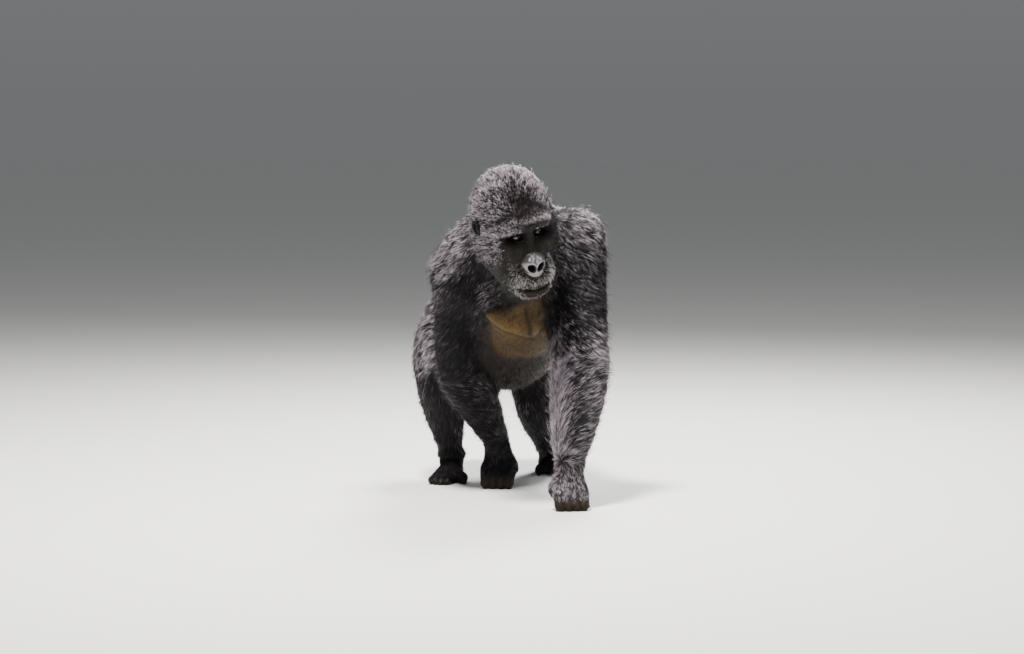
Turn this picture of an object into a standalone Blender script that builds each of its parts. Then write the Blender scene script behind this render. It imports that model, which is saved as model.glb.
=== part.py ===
"""A mountain gorilla, life size, walking on its knuckles, as a still museum model.

The body is built whole from rounded masses, blended by a voxel remesh, and then parted into its named
pieces with narrow gaps. It faces -Y, its left side is +X, and it stands on small flats at Z = 0.
The surface is that of the coat, out to the tips of the hair. Metres throughout.
"""

import math

import bmesh
import bpy
from mathutils import Matrix, Vector

# ---- Driving sizes ----------------------------------------------------------------------------------
PARTING_GAP = 0.0004  # left between neighbouring pieces
BODY_VOXEL = 0.011
HEAD_VOXEL = 0.006
HAND_VOXEL = 0.005
JOINED_VOXEL = 0.0075
BODY_TRIANGLES = 4700
EAR_TRIANGLES = 260
FINE_WEIGHT = 0.985  # how readily the head loses triangles, against 1 for the rest
FLAT = 0.003  # height of the soles and knuckles taken off, so that they stand flat

# ---- The skeleton: joints that the limbs run through -------------------------------------------------
LEFT_SHOULDER = Vector((0.212, 0.270, 0.928))
LEFT_ELBOW = Vector((0.238, 0.200, 0.490))
LEFT_WRIST = Vector((0.200, 0.015, 0.165))
RIGHT_SHOULDER = Vector((-0.185, 0.345, 0.830))
RIGHT_ELBOW = Vector((-0.188, 0.490, 0.460))
RIGHT_WRIST = Vector((-0.052, 0.605, 0.165))

LEFT_HIP = Vector((0.035, 0.985, 0.600))
LEFT_KNEE = Vector((0.095, 0.850, 0.290))
LEFT_ANKLE = Vector((0.145, 1.070, 0.095))
RIGHT_HIP = Vector((-0.190, 0.965, 0.600))
RIGHT_KNEE = Vector((-0.275, 0.715, 0.400))
RIGHT_ANKLE = Vector((-0.226, 0.830, 0.095))

# ---- The head, turned to its left, tipped down and tilted over ---------------------------------------
EYES_AT = Vector((0.0535, -0.050, 0.956))
HEAD_YAW, HEAD_PITCH, HEAD_ROLL = (math.radians(a) for a in (26.5, 18.0, -15.5))
EYE_APART, EYE_DEEP, EYE_RADIUS = 0.0395, 0.014, 0.0125
EAR_AT = Vector((0.141, 0.108, 0.030))

HEAD_FRAME = (
    Matrix.Translation(EYES_AT)
    @ Matrix.Rotation(HEAD_YAW, 4, "Z")
    @ Matrix.Rotation(HEAD_PITCH, 4, "X")
    @ Matrix.Rotation(HEAD_ROLL, 4, "Y")
)


# ---- Making closed masses ----------------------------------------------------------------------------
def add_blob(bm, at, radii, turn=None):
    """One ellipsoid, at a point, with its half sizes along its own axes."""
    shape = Matrix.Diagonal((*radii, 1.0))
    placed = Matrix.Translation(at) @ (turn.to_4x4() if turn else Matrix.Identity(4)) @ shape
    bmesh.ops.create_icosphere(bm, subdivisions=3, radius=1.0, matrix=placed)


def between(stops, steps):
    """Tuples of numbers on a smooth curve through the stops, with so many steps from each to the next."""
    padded = [stops[0], *stops, stops[-1]]
    for i in range(len(stops) - 1):
        a, b, c, d = padded[i : i + 4]
        for k in range(steps):
            t = k / steps
            yield tuple(
                0.5 * (2 * q + (r - p) * t + (2 * p - 5 * q + 4 * r - s) * t**2 + (3 * q - p - 3 * r + s) * t**3)
                for p, q, r, s in zip(a, b, c, d)
            )
    yield tuple(stops[-1])


def add_limb(bm, stops, steps=6):
    """A round limb through (point, radius) stops, as a row of overlapping balls."""
    for x, y, z, r in between([(*point, radius) for point, radius in stops], steps):
        add_blob(bm, (x, y, z), (r, r, r))


def add_loft(bm, rings, along, steps=5, around=40):
    """A closed skin over oval rings (x, y, z, half width, other half size) set across the Y or the Z axis."""
    loops = []
    for x, y, z, wide, other in between(rings, steps):
        turns = [2 * math.pi * k / around for k in range(around)]
        if along == "Y":
            loop = [(x + wide * math.cos(t), y, z + other * math.sin(t)) for t in turns]
        else:
            loop = [(x + wide * math.cos(t), y + other * math.sin(t), z) for t in turns]
        loops.append([bm.verts.new(point) for point in loop])
    for one, two in zip(loops, loops[1:]):
        for k in range(around):
            j = (k + 1) % around
            bm.faces.new((one[k], one[j], two[j], two[k]))
    bm.faces.new(loops[0])
    bm.faces.new(loops[-1])
    bmesh.ops.recalc_face_normals(bm, faces=bm.faces)


def new_object(name, bm, collection):
    mesh = bpy.data.meshes.new(name)
    bm.to_mesh(mesh)
    bm.free()
    obj = bpy.data.objects.new(name, mesh)
    collection.objects.link(obj)
    return obj


def evaluated(obj):
    """Applies the object's modifiers to its mesh."""
    graph = bpy.context.evaluated_depsgraph_get()
    mesh = bpy.data.meshes.new_from_object(obj.evaluated_get(graph))
    obj.modifiers.clear()
    old, obj.data = obj.data, mesh
    bpy.data.meshes.remove(old)
    return obj


def blended(obj, voxel, passes, strength=0.5):
    """The masses joined into one skin, and its creases softened."""
    remesh = obj.modifiers.new("join", "REMESH")
    remesh.mode = "VOXEL"
    remesh.voxel_size = voxel
    soften = obj.modifiers.new("soften", "SMOOTH")
    soften.factor = strength
    soften.iterations = passes
    return evaluated(obj)


def thinned(obj, triangles, fine=None):
    """The same shape in about so many triangles, and more of them in the vertices that fine picks."""
    fewer = obj.modifiers.new("fewer", "DECIMATE")
    fewer.ratio = triangles / sum(len(polygon.vertices) - 2 for polygon in obj.data.polygons)
    if fine:
        group = obj.vertex_groups.new(name="coarse")
        for weight, wanted in ((1.0, False), (FINE_WEIGHT, True)):
            group.add([vert.index for vert in obj.data.vertices if fine(vert.co) is wanted], weight, "REPLACE")
        fewer.vertex_group = group.name
    thin = evaluated(obj)
    thin.vertex_groups.clear()
    return thin


def joined(objects, name):
    """One object of all their meshes; the first keeps its place."""
    bm = bmesh.new()
    for obj in objects:
        bm.from_mesh(obj.data)
    collection = objects[0].users_collection[0]
    for obj in objects:
        bpy.data.objects.remove(obj)
    return new_object(name, bm, collection)


# ---- Trunk and neck ------------------------------------------------------------------------------------
def make_trunk(forms):
    bm = bmesh.new()
    stations = [  # x, y, z, half width, half height
        (0.045, 0.205, 0.760, 0.100, 0.130),
        (0.040, 0.255, 0.765, 0.160, 0.205),
        (0.030, 0.360, 0.762, 0.205, 0.268),
        (0.012, 0.480, 0.715, 0.222, 0.292),
        (-0.018, 0.630, 0.655, 0.235, 0.300),
        (-0.045, 0.780, 0.620, 0.236, 0.268),
        (-0.068, 0.920, 0.620, 0.215, 0.198),
        (-0.080, 1.030, 0.625, 0.165, 0.130),
        (-0.084, 1.095, 0.628, 0.090, 0.070),
    ]
    add_loft(bm, stations, "Y")
    # Breast muscles, flat, ending in a fold above the belly.
    for side in (-1, 1):
        add_blob(bm, (0.068 + side * 0.070, 0.225, 0.675), (0.096, 0.066, 0.088))
    # The neck's slope runs out to each shoulder.
    add_limb(bm, [((0.050, 0.270, 0.945), 0.120), ((0.135, 0.275, 0.938), 0.112), (LEFT_SHOULDER, 0.118)], steps=6)
    right = [((-0.020, 0.270, 0.950), 0.128), ((-0.110, 0.300, 0.908), 0.118), (RIGHT_SHOULDER, 0.112)]
    add_limb(bm, right, steps=6)
    # Shoulder blades, behind each shoulder.
    add_blob(bm, (0.135, 0.370, 0.872), (0.095, 0.150, 0.120))
    add_blob(bm, (-0.125, 0.430, 0.830), (0.090, 0.140, 0.112))
    # Nape and throat.
    add_limb(bm, [((0.000, 0.120, 1.030), 0.136), ((0.000, 0.225, 0.992), 0.144), ((0.010, 0.370, 0.892), 0.154)])
    add_limb(bm, [((0.050, 0.110, 0.860), 0.085), ((0.050, 0.190, 0.800), 0.110), ((0.035, 0.280, 0.740), 0.120)])
    return blended(new_object("trunk_mass", bm, forms), BODY_VOXEL, 12)


# ---- Limbs ---------------------------------------------------------------------------------------------
def make_arm(name, forms, shoulder, elbow, wrist, outward, stout):
    """Shoulder to wrist; outward is +1 on the left side and -1 on the right; stout scales its thickness."""
    bm = bmesh.new()
    upper = shoulder.lerp(elbow, 0.45) + Vector((outward * 0.008, 0.0, 0.0))
    lower = elbow.lerp(wrist, 0.28) + Vector((outward * 0.004, 0.0, 0.0))
    near = elbow.lerp(wrist, 0.66)
    stops = [(shoulder, 0.118), (upper, 0.100), (elbow, 0.102), (lower, 0.102), (near, 0.082), (wrist, 0.060)]
    add_limb(bm, [(at, radius * stout) for at, radius in stops], steps=8)
    add_blob(bm, shoulder + Vector((outward * 0.018, -0.005, -0.030)), (0.100, 0.122, 0.135))
    # The long muscle behind the upper arm, and the point of the elbow.
    add_blob(bm, upper + Vector((0.0, 0.035, 0.0)), (0.086 * stout, 0.098, 0.150))
    add_blob(bm, elbow + Vector((outward * 0.010, 0.040, 0.010)), (0.076 * stout, 0.076, 0.090))
    return blended(new_object(name, bm, forms), BODY_VOXEL, 14)


def make_leg(name, forms, hip, knee, ankle, outward):
    bm = bmesh.new()
    thigh = hip.lerp(knee, 0.45) + Vector((outward * 0.022, 0.0, 0.0))
    calf = knee.lerp(ankle, 0.40) + Vector((0.0, 0.018, 0.0))
    near = knee.lerp(ankle, 0.78)
    stops = [(hip, 0.140), (thigh, 0.126), (knee, 0.092), (calf, 0.086), (near, 0.062), (ankle, 0.050)]
    add_limb(bm, stops, steps=8)
    # The seat, behind and below the hip joint.
    add_blob(bm, hip + Vector((outward * 0.008, 0.045, -0.010)), (0.115, 0.105, 0.130))
    return blended(new_object(name, bm, forms), BODY_VOXEL, 14)


# ---- Hands and feet ------------------------------------------------------------------------------------
def make_hand(name, forms, wrist, heading, thumb_side):
    """A fist's back to the front, resting on the middle joints of four folded fingers.

    heading turns the hand about the vertical; thumb_side is +1 where the thumb is towards +X.
    """
    turn = Matrix.Rotation(heading, 3, "Z")

    def at(across, ahead, height):
        side = turn @ Vector((across * thumb_side, -ahead, 0.0))
        return Vector((wrist.x + side.x, wrist.y + side.y, height))

    bm = bmesh.new()
    add_limb(bm, [(at(0, 0, wrist.z + 0.01), 0.056), (at(0, 0.004, wrist.z - 0.035), 0.046)])
    # The back of the hand widens to the knuckles.
    palm = [(0.0, wrist.z - 0.020, 0.046), (0.012, wrist.z - 0.055, 0.056), (0.026, 0.082, 0.062)]
    for ahead, height, half_wide in between(palm, 4):
        add_blob(bm, at(0, ahead, height), (half_wide, 0.030, 0.030), turn)
    for across, length in ((0.045, 0.94), (0.016, 1.03), (-0.014, 1.0), (-0.042, 0.88)):
        knuckle = at(across, 0.030, 0.082)
        bend = at(across * 1.04, 0.030 + 0.048 * length, 0.0165)
        under = at(across * 0.98, 0.030 + 0.004 * length, 0.0150)
        tip = at(across * 0.90, 0.006, 0.030)
        add_limb(bm, [(knuckle, 0.0215), (bend, 0.0190)], steps=6)
        add_limb(bm, [(bend, 0.0185), (under, 0.0165), (tip, 0.0130)], steps=5)
    add_limb(
        bm,
        [(at(0.044, 0.002, 0.120), 0.019), (at(0.066, 0.022, 0.088), 0.0165), (at(0.068, 0.036, 0.058), 0.0130)],
        steps=6,
    )
    return blended(new_object(name, bm, forms), HAND_VOXEL, 3)


def make_foot(name, forms, ankle, heading, big_toe_side):
    """A broad flat foot, its great toe standing off to the inner side."""
    turn = Matrix.Rotation(heading, 3, "Z")

    def at(across, ahead, height):
        side = turn @ Vector((across * big_toe_side, -ahead, 0.0))
        return Vector((ankle.x + side.x, ankle.y + side.y, height))

    bm = bmesh.new()
    add_limb(bm, [(at(0, 0.000, ankle.z), 0.052), (at(0, 0.006, 0.060), 0.046)])
    sole = [
        (0.000, -0.058, 0.034, 0.034, 0.036),
        (0.000, -0.010, 0.040, 0.038, 0.042),
        (0.002, 0.050, 0.038, 0.045, 0.038),
        (0.002, 0.105, 0.028, 0.054, 0.029),
        (0.000, 0.140, 0.022, 0.052, 0.022),
    ]
    for across, ahead, height, wide, high in between(sole, 5):
        add_blob(bm, at(across, ahead, height), (wide, 0.034, high), turn)
    for across, length, thick in ((0.026, 0.058, 0.0165), (0.004, 0.060, 0.0160), (-0.018, 0.056, 0.0150),
                                  (-0.038, 0.046, 0.0140)):
        base = at(across, 0.140, 0.022)
        middle = at(across * 1.10, 0.140 + length * 0.60, 0.021)
        tip = at(across * 1.12, 0.140 + length, 0.0125)
        add_limb(bm, [(base, thick), (middle, thick), (tip, thick * 0.92)], steps=5)
    great = [(at(0.030, 0.060, 0.030), 0.026), (at(0.068, 0.108, 0.024), 0.0215), (at(0.082, 0.152, 0.018), 0.0190)]
    add_limb(bm, great, steps=6)
    return blended(new_object(name, bm, forms), HAND_VOXEL, 3)


# ---- Head ------------------------------------------------------------------------------------------------
def make_skull_mass(forms):
    """The large smooth mass of the head: braincase, crest, jaw muscles and the hair over them."""
    bm = bmesh.new()
    levels = [  # x, y, z, half width, half depth
        (0, 0.162, 0.202, 0.012, 0.012),
        (0, 0.158, 0.194, 0.052, 0.042),
        (0, 0.152, 0.171, 0.092, 0.074),
        (0, 0.142, 0.126, 0.129, 0.104),
        (0, 0.134, 0.072, 0.143, 0.121),
        (0, 0.128, 0.000, 0.147, 0.124),
        (0, 0.120, -0.070, 0.141, 0.114),
        (0, 0.100, -0.140, 0.118, 0.104),
        (0, 0.070, -0.190, 0.084, 0.082),
        (0, 0.050, -0.220, 0.046, 0.050),
        (0, 0.046, -0.228, 0.012, 0.012),
    ]
    add_loft(bm, levels, "Z", around=48)
    return blended(new_object("skull_mass", bm, forms), HEAD_VOXEL, 6)


def make_head(forms):
    """In its own frame, the point between the eyes at the origin and the face to -Y."""
    skull = make_skull_mass(forms)
    bm = bmesh.new()
    brow = [
        ((-0.098, 0.040, 0.030), 0.016),
        ((-0.058, -0.001, 0.044), 0.0200),
        ((0, -0.012, 0.048), 0.0220),
        ((0.058, -0.001, 0.044), 0.0200),
        ((0.098, 0.040, 0.030), 0.016),
    ]
    add_limb(bm, brow, steps=8)
    add_limb(bm, [((0, -0.008, 0.026), 0.018), ((0, -0.012, -0.016), 0.0165), ((0, -0.018, -0.058), 0.021)], steps=7)
    add_blob(bm, (0, 0.012, -0.060), (0.078, 0.045, 0.070))  # the face between the cheekbones
    for side in (-1, 1):
        add_blob(bm, (side * 0.066, 0.016, -0.030), (0.038, 0.034, 0.028))  # cheekbone
        add_blob(bm, (side * 0.096, 0.058, -0.040), (0.046, 0.054, 0.074))  # the hair of the cheek
        add_blob(bm, (side * 0.044, 0.014, -0.144), (0.043, 0.046, 0.056))  # side of the muzzle
        add_blob(bm, (side * 0.0210, -0.028, -0.096), (0.0225, 0.022, 0.036))  # wing of the nose
    add_blob(bm, (0, -0.004, -0.153), (0.066, 0.048, 0.048))  # upper lip
    add_blob(bm, (0, 0.006, -0.201), (0.064, 0.044, 0.030))  # lower lip
    add_blob(bm, (0, 0.018, -0.212), (0.058, 0.040, 0.030))  # chin
    face = blended(new_object("face_mass", bm, forms), HAND_VOXEL, 10)
    return blended(joined([skull, face], "head_mass"), HEAD_VOXEL * 0.8, 4)


def make_ear(name, parts, side):
    """A small bare shell, its rim curled round a hollow, in the head's frame."""
    bm = bmesh.new()
    rim = [
        ((0.002, -0.012, -0.022), 0.0050),
        ((0.005, -0.016, 0.004), 0.0046),
        ((0.008, -0.002, 0.024), 0.0050),
        ((0.011, 0.014, 0.014), 0.0054),
        ((0.009, 0.014, -0.010), 0.0052),
        ((0.003, 0.000, -0.026), 0.0060),
    ]
    add_limb(bm, rim, steps=6)
    add_blob(bm, (0.000, 0.000, -0.002), (0.0055, 0.0150, 0.0240))
    add_blob(bm, (-0.012, 0.000, -0.002), (0.0130, 0.0110, 0.0180))
    bm.transform(Matrix.Diagonal((side, 1, 1, 1)))
    bm.transform(Matrix.Translation((side * EAR_AT.x, EAR_AT.y, EAR_AT.z)))
    if side < 0:
        bmesh.ops.reverse_faces(bm, faces=bm.faces)
    bm.transform(HEAD_FRAME)
    ear = blended(new_object(name, bm, parts), 0.0024, 2)
    return thinned(ear, EAR_TRIANGLES)


def make_eye(name, parts, side):
    bm = bmesh.new()
    bmesh.ops.create_uvsphere(bm, u_segments=12, v_segments=8, radius=EYE_RADIUS)
    bm.transform(HEAD_FRAME @ Matrix.Translation((side * EYE_APART, EYE_DEEP, 0)) @ Matrix.Rotation(math.pi / 2, 4, "X"))
    return new_object(name, bm, parts)


def sink_eye_sockets(head, cutters):
    """Hollows under the brow, which the eyeballs sit in."""
    bm = bmesh.new()
    for side in (-1, 1):
        add_blob(bm, (side * EYE_APART, -0.014, -0.004), (0.0230, 0.0200, 0.0130))
        add_blob(bm, (side * EYE_APART, EYE_DEEP, 0.0), (EYE_RADIUS * 0.9,) * 3)
    hollows = blended(new_object("socket_hollows", bm, cutters), 0.003, 2)
    cut(head, hollows, "DIFFERENCE")
    bpy.data.objects.remove(hollows)


def cut(obj, cutter, operation):
    boolean = obj.modifiers.new("cut", "BOOLEAN")
    boolean.operation = operation
    boolean.solver = "EXACT"
    boolean.object = cutter
    return evaluated(obj)


def make_room(head, piece, cutters, gap, voxel=None):
    """Cuts the head clear of a piece that sits in it, leaving a gap; a folded piece is remeshed first."""
    bm = bmesh.new()
    bm.from_mesh(piece.data)
    bm.normal_update()
    for vert in bm.verts:
        vert.co += vert.normal * gap
    room = new_object(piece.name + "_room", bm, cutters)
    if voxel:
        room = thinned(blended(room, voxel, 1), EAR_TRIANGLES)
    cut(head, room, "DIFFERENCE")
    bpy.data.objects.remove(room)


# ---- Parting ---------------------------------------------------------------------------------------------
def cell(name, cutters, planes, shift):
    """The space beyond every one of the planes, each (point, outward direction), moved outward by shift."""
    bm = bmesh.new()
    bmesh.ops.create_cube(bm, size=8.0)
    for at, outward in planes:
        outward = Vector(outward).normalized()
        geometry = [*bm.verts, *bm.edges, *bm.faces]
        point = Vector(at) + outward * shift
        bmesh.ops.bisect_plane(bm, geom=geometry, plane_co=point, plane_no=outward, clear_inner=True)
        bmesh.ops.holes_fill(bm, edges=[edge for edge in bm.edges if edge.is_boundary])
    bmesh.ops.recalc_face_normals(bm, faces=bm.faces)
    box = new_object(name, bm, cutters)
    box.hide_render = True
    box.display_type = "WIRE"
    return box


def keep_largest(obj):
    """Drops the crumbs that a cut beside a crease can leave."""
    bm = bmesh.new()
    bm.from_mesh(obj.data)
    left, islands = set(bm.verts), []
    while left:
        island, edge = set(), [min(left, key=lambda v: v.index)]
        while edge:
            vert = edge.pop()
            if vert in island:
                continue
            island.add(vert)
            edge.extend(link.other_vert(vert) for link in vert.link_edges)
        islands.append(island)
        left -= island
    largest = max(islands, key=len)
    bmesh.ops.delete(bm, geom=[vert for vert in bm.verts if vert not in largest], context="VERTS")
    bm.to_mesh(obj.data)
    bm.free()


def part_off(source, name, *planes):
    """Takes what lies beyond all the planes off an object, as a piece of its own, a gap left between them."""
    parts, cutters = (bpy.data.collections[k] for k in ("gorilla", "cutters"))
    piece = bpy.data.objects.new(name, source.data.copy())
    parts.objects.link(piece)
    beyond = cell(name + "_beyond", cutters, planes, PARTING_GAP / 2)
    room = cell(name + "_room", cutters, planes, -PARTING_GAP / 2)
    cut(piece, beyond, "INTERSECT")
    cut(source, room, "DIFFERENCE")
    for obj in (piece, source):
        keep_largest(obj)
    for box in (beyond, room):
        bpy.data.objects.remove(box)
    return piece


def part_body(body):
    """Head, limbs and their lengths, neck, chest and abdomen; what is left of the body is the chest."""
    part_off(body, "head", ((0.020, 0.125, 0.950), (0.15, -0.95, 0.25)), ((0, 0, 0.700), (0, 0, 1)))
    nape = ((0.0, 0.250, 1.050), (0.0, -0.915, 0.404))
    part_off(body, "neck", nape, ((0.130, 0, 0), (-1, 0, 0)), ((0, 0, 0.700), (0, 0, 1)))

    elbow = (LEFT_ELBOW - Vector((0, 0, 0.02)), (-0.10, -0.45, -0.88))
    left_forearm = part_off(body, "left_forearm", elbow, ((0.090, 0.200, 0), (0.93, -0.367, 0.0)))
    part_off(body, "left_upper_arm", ((0.125, 0.150, 0.800), (0.90, -0.43, -0.12)))
    part_off(left_forearm, "left_hand", (LEFT_WRIST, (0.0, -0.12, -1.0)))

    right_leg = part_off(
        body,
        "right_thigh",
        ((-0.095, 0.980, 0.470), (-0.78, 0.345, -0.52)),
        ((-0.088, 0, 0), (-1, 0, 0)),
        ((-0.200, 0.635, 0.400), (-0.45, 0.89, 0.0)),
    )
    right_shank = part_off(right_leg, "right_shank", (RIGHT_KNEE, (-0.07, -0.26, -0.96)))
    part_off(right_shank, "right_foot", (RIGHT_ANKLE + Vector((0, 0, 0.012)), (0, 0, -1)))

    left_leg = part_off(body, "left_thigh", ((-0.060, 0.980, 0.450), (0.609, 0.60, -0.519)), ((0, 0.715, 0), (0, 1, 0)))
    left_shank = part_off(left_leg, "left_shank", (LEFT_KNEE, (0.21, 0.21, -0.95)))
    part_off(left_shank, "left_foot", (LEFT_ANKLE + Vector((0, 0, 0.012)), (0, 0, -1)))

    right_forearm = part_off(
        body,
        "right_forearm",
        (RIGHT_ELBOW - Vector((0, 0, 0.02)), (0.39, 0.33, -0.86)),
        ((-0.095, 0.490, 0.450), (-0.55, -0.45, -0.70)),
    )
    part_off(right_forearm, "right_hand", (RIGHT_WRIST, (0.10, 0.10, -1.0)))
    part_off(body, "right_upper_arm", ((-0.135, 0.350, 0.830), (-0.796, -0.564, -0.219)), ((-0.098, 0, 0), (-1, 0, 0)))
    part_off(body, "abdomen", ((0, 0.600, 0), (0.0, 1.0, -0.15)))
    body.name = "chest"


def material(name, colour, roughness):
    made = bpy.data.materials.new(name)
    made.use_nodes = True
    shader = made.node_tree.nodes["Principled BSDF"]
    shader.inputs["Base Color"].default_value = (*colour, 1.0)
    shader.inputs["Roughness"].default_value = roughness
    shader.inputs["Metallic"].default_value = 0.0
    return made


def settle(parts):
    """Moves everything so that the origin is under the middle of the model, on the floor."""
    corners = [obj.matrix_world @ Vector(corner) for obj in parts.objects for corner in obj.bound_box]
    low = Vector([min(corner[k] for corner in corners) for k in range(3)])
    high = Vector([max(corner[k] for corner in corners) for k in range(3)])
    shift = Vector((-(low.x + high.x) / 2, -(low.y + high.y) / 2, -low.z))
    for obj in parts.objects:
        obj.data.transform(Matrix.Translation(shift))
    return shift


def main():
    for obj in list(bpy.data.objects):
        bpy.data.objects.remove(obj)
    parts = bpy.data.collections.new("gorilla")
    forms = bpy.data.collections.new("forms")
    cutters = bpy.data.collections.new("cutters")
    for collection in (parts, forms, cutters):
        bpy.context.scene.collection.children.link(collection)

    head = make_head(forms)
    sink_eye_sockets(head, cutters)
    head.data.transform(HEAD_FRAME)
    trunk_and_limbs = [
        make_trunk(forms),
        make_arm("left_arm_mass", forms, LEFT_SHOULDER, LEFT_ELBOW, LEFT_WRIST, 1, 1.04),
        make_arm("right_arm_mass", forms, RIGHT_SHOULDER, RIGHT_ELBOW, RIGHT_WRIST, -1, 0.92),
        make_leg("left_leg_mass", forms, LEFT_HIP, LEFT_KNEE, LEFT_ANKLE, 1),
        make_leg("right_leg_mass", forms, RIGHT_HIP, RIGHT_KNEE, RIGHT_ANKLE, -1),
    ]
    main_mass = blended(joined(trunk_and_limbs, "main_mass"), BODY_VOXEL, 16)
    ends = [
        make_hand("left_hand_mass", forms, LEFT_WRIST, math.radians(8), -1),
        make_hand("right_hand_mass", forms, RIGHT_WRIST, math.radians(-4), 1),
        make_foot("left_foot_mass", forms, LEFT_ANKLE, math.radians(14), -1),
        make_foot("right_foot_mass", forms, RIGHT_ANKLE, math.radians(-12), 1),
    ]
    body = blended(joined([main_mass, head, *ends], "body"), JOINED_VOXEL, 2)
    parts.objects.link(body)
    forms.objects.unlink(body)
    thinned(body, BODY_TRIANGLES, fine=lambda co: (co - EYES_AT).length < 0.23)
    floor = cell("floor", cutters, [((0, 0, FLAT), (0, 0, -1))], 0.0)
    cut(body, floor, "DIFFERENCE")
    bpy.data.objects.remove(floor)

    part_body(body)
    head = bpy.data.objects["head"]
    for side, which in ((1, "left"), (-1, "right")):
        make_room(head, make_eye(which + "_eye", parts, side), cutters, PARTING_GAP)
        make_room(head, make_ear(which + "_ear", parts, side), cutters, 3 * PARTING_GAP, voxel=0.0015)
    keep_largest(head)

    for collection in (forms, cutters):
        for obj in list(collection.objects):
            bpy.data.objects.remove(obj)
    bpy.context.scene["shift"] = settle(parts)
    coat = material("black coat", (0.030, 0.028, 0.030), 0.75)
    skin = material("bare skin", (0.022, 0.019, 0.018), 0.45)
    eye = material("brown eye", (0.045, 0.018, 0.008), 0.08)
    for obj in parts.objects:
        obj.data.materials.clear()
        bare = obj.name.endswith(("hand", "foot", "ear"))
        obj.data.materials.append(eye if obj.name.endswith("eye") else skin if bare else coat)


main()
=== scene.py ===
import math

import bmesh
import bpy
import numpy as np
from mathutils import Matrix, Vector
from mathutils.bvhtree import BVHTree
from mathutils.kdtree import KDTree


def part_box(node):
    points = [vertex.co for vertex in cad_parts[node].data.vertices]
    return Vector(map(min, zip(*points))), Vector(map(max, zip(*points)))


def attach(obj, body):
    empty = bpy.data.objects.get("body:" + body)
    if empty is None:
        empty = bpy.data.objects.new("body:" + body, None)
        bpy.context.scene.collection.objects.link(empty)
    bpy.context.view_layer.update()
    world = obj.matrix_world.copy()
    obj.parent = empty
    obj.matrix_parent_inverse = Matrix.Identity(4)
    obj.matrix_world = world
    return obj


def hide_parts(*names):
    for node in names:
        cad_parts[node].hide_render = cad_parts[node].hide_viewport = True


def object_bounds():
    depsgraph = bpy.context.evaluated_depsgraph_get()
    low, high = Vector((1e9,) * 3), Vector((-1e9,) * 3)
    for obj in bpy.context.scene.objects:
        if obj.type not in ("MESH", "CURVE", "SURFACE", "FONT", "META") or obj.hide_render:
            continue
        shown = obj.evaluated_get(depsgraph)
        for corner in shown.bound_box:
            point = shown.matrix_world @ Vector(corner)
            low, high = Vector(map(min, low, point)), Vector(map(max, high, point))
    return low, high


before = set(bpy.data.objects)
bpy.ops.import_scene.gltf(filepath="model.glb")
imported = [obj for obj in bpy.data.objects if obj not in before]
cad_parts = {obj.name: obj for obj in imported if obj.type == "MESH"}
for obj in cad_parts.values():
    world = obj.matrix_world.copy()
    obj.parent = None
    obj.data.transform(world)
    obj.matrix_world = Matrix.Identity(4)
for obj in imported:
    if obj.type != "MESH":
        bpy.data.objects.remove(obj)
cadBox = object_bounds()
print("frame loaded")

# where things are: the head's own frame, and the joints that the limbs run through, in metres
headPose = {
    "yaw": 26.5, "pitch": 18.0, "roll": -15.5, "eyeDepth": 0.014,
    "fromWalk": (0.0535, -0.0500, 0.9560),
}
eyeCentre = {side: sum(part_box(side + "_eye"), Vector()) / 2 for side in ("left", "right")}
eyeMiddle = (eyeCentre["left"] + eyeCentre["right"]) / 2
headTurn = (
    Matrix.Rotation(math.radians(headPose["yaw"]), 3, "Z")
    @ Matrix.Rotation(math.radians(headPose["pitch"]), 3, "X")
    @ Matrix.Rotation(math.radians(headPose["roll"]), 3, "Y")
)
headOrigin = eyeMiddle - headTurn @ Vector((0, headPose["eyeDepth"], 0))
walkOrigin = headOrigin - Vector(headPose["fromWalk"])  # the point that the joints are measured from
headAxes = np.array(headTurn)  # columns: the head's left, back and up
joints = {
    "leftShoulder": (0.212, 0.270, 0.928), "leftElbow": (0.238, 0.200, 0.490),
    "leftWrist": (0.200, 0.015, 0.165), "rightShoulder": (-0.185, 0.345, 0.830),
    "rightElbow": (-0.188, 0.490, 0.460), "rightWrist": (-0.052, 0.605, 0.165),
    "leftHip": (0.035, 0.985, 0.600), "leftKnee": (0.095, 0.850, 0.290),
    "leftAnkle": (0.145, 1.070, 0.095), "rightHip": (-0.190, 0.965, 0.600),
    "rightKnee": (-0.275, 0.715, 0.400), "rightAnkle": (-0.226, 0.830, 0.095),
}
joints = {name: np.array(walkOrigin) + np.array(at) for name, at in joints.items()}
fingers = (0.0455, 0.0162, -0.0142, -0.0425)  # their middles, across towards the thumb
toes = (0.0280, 0.0043, -0.0198, -0.0420)  # the same, without the great toe
extremities = {  # where each starts, its heading in degrees, the side of thumb or great toe, its digits
    "left_hand": ("leftWrist", 8, -1, fingers),
    "right_hand": ("rightWrist", -4, 1, fingers),
    "left_foot": ("leftAnkle", 14, -1, toes),
    "right_foot": ("rightAnkle", -12, 1, toes),
}
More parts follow.
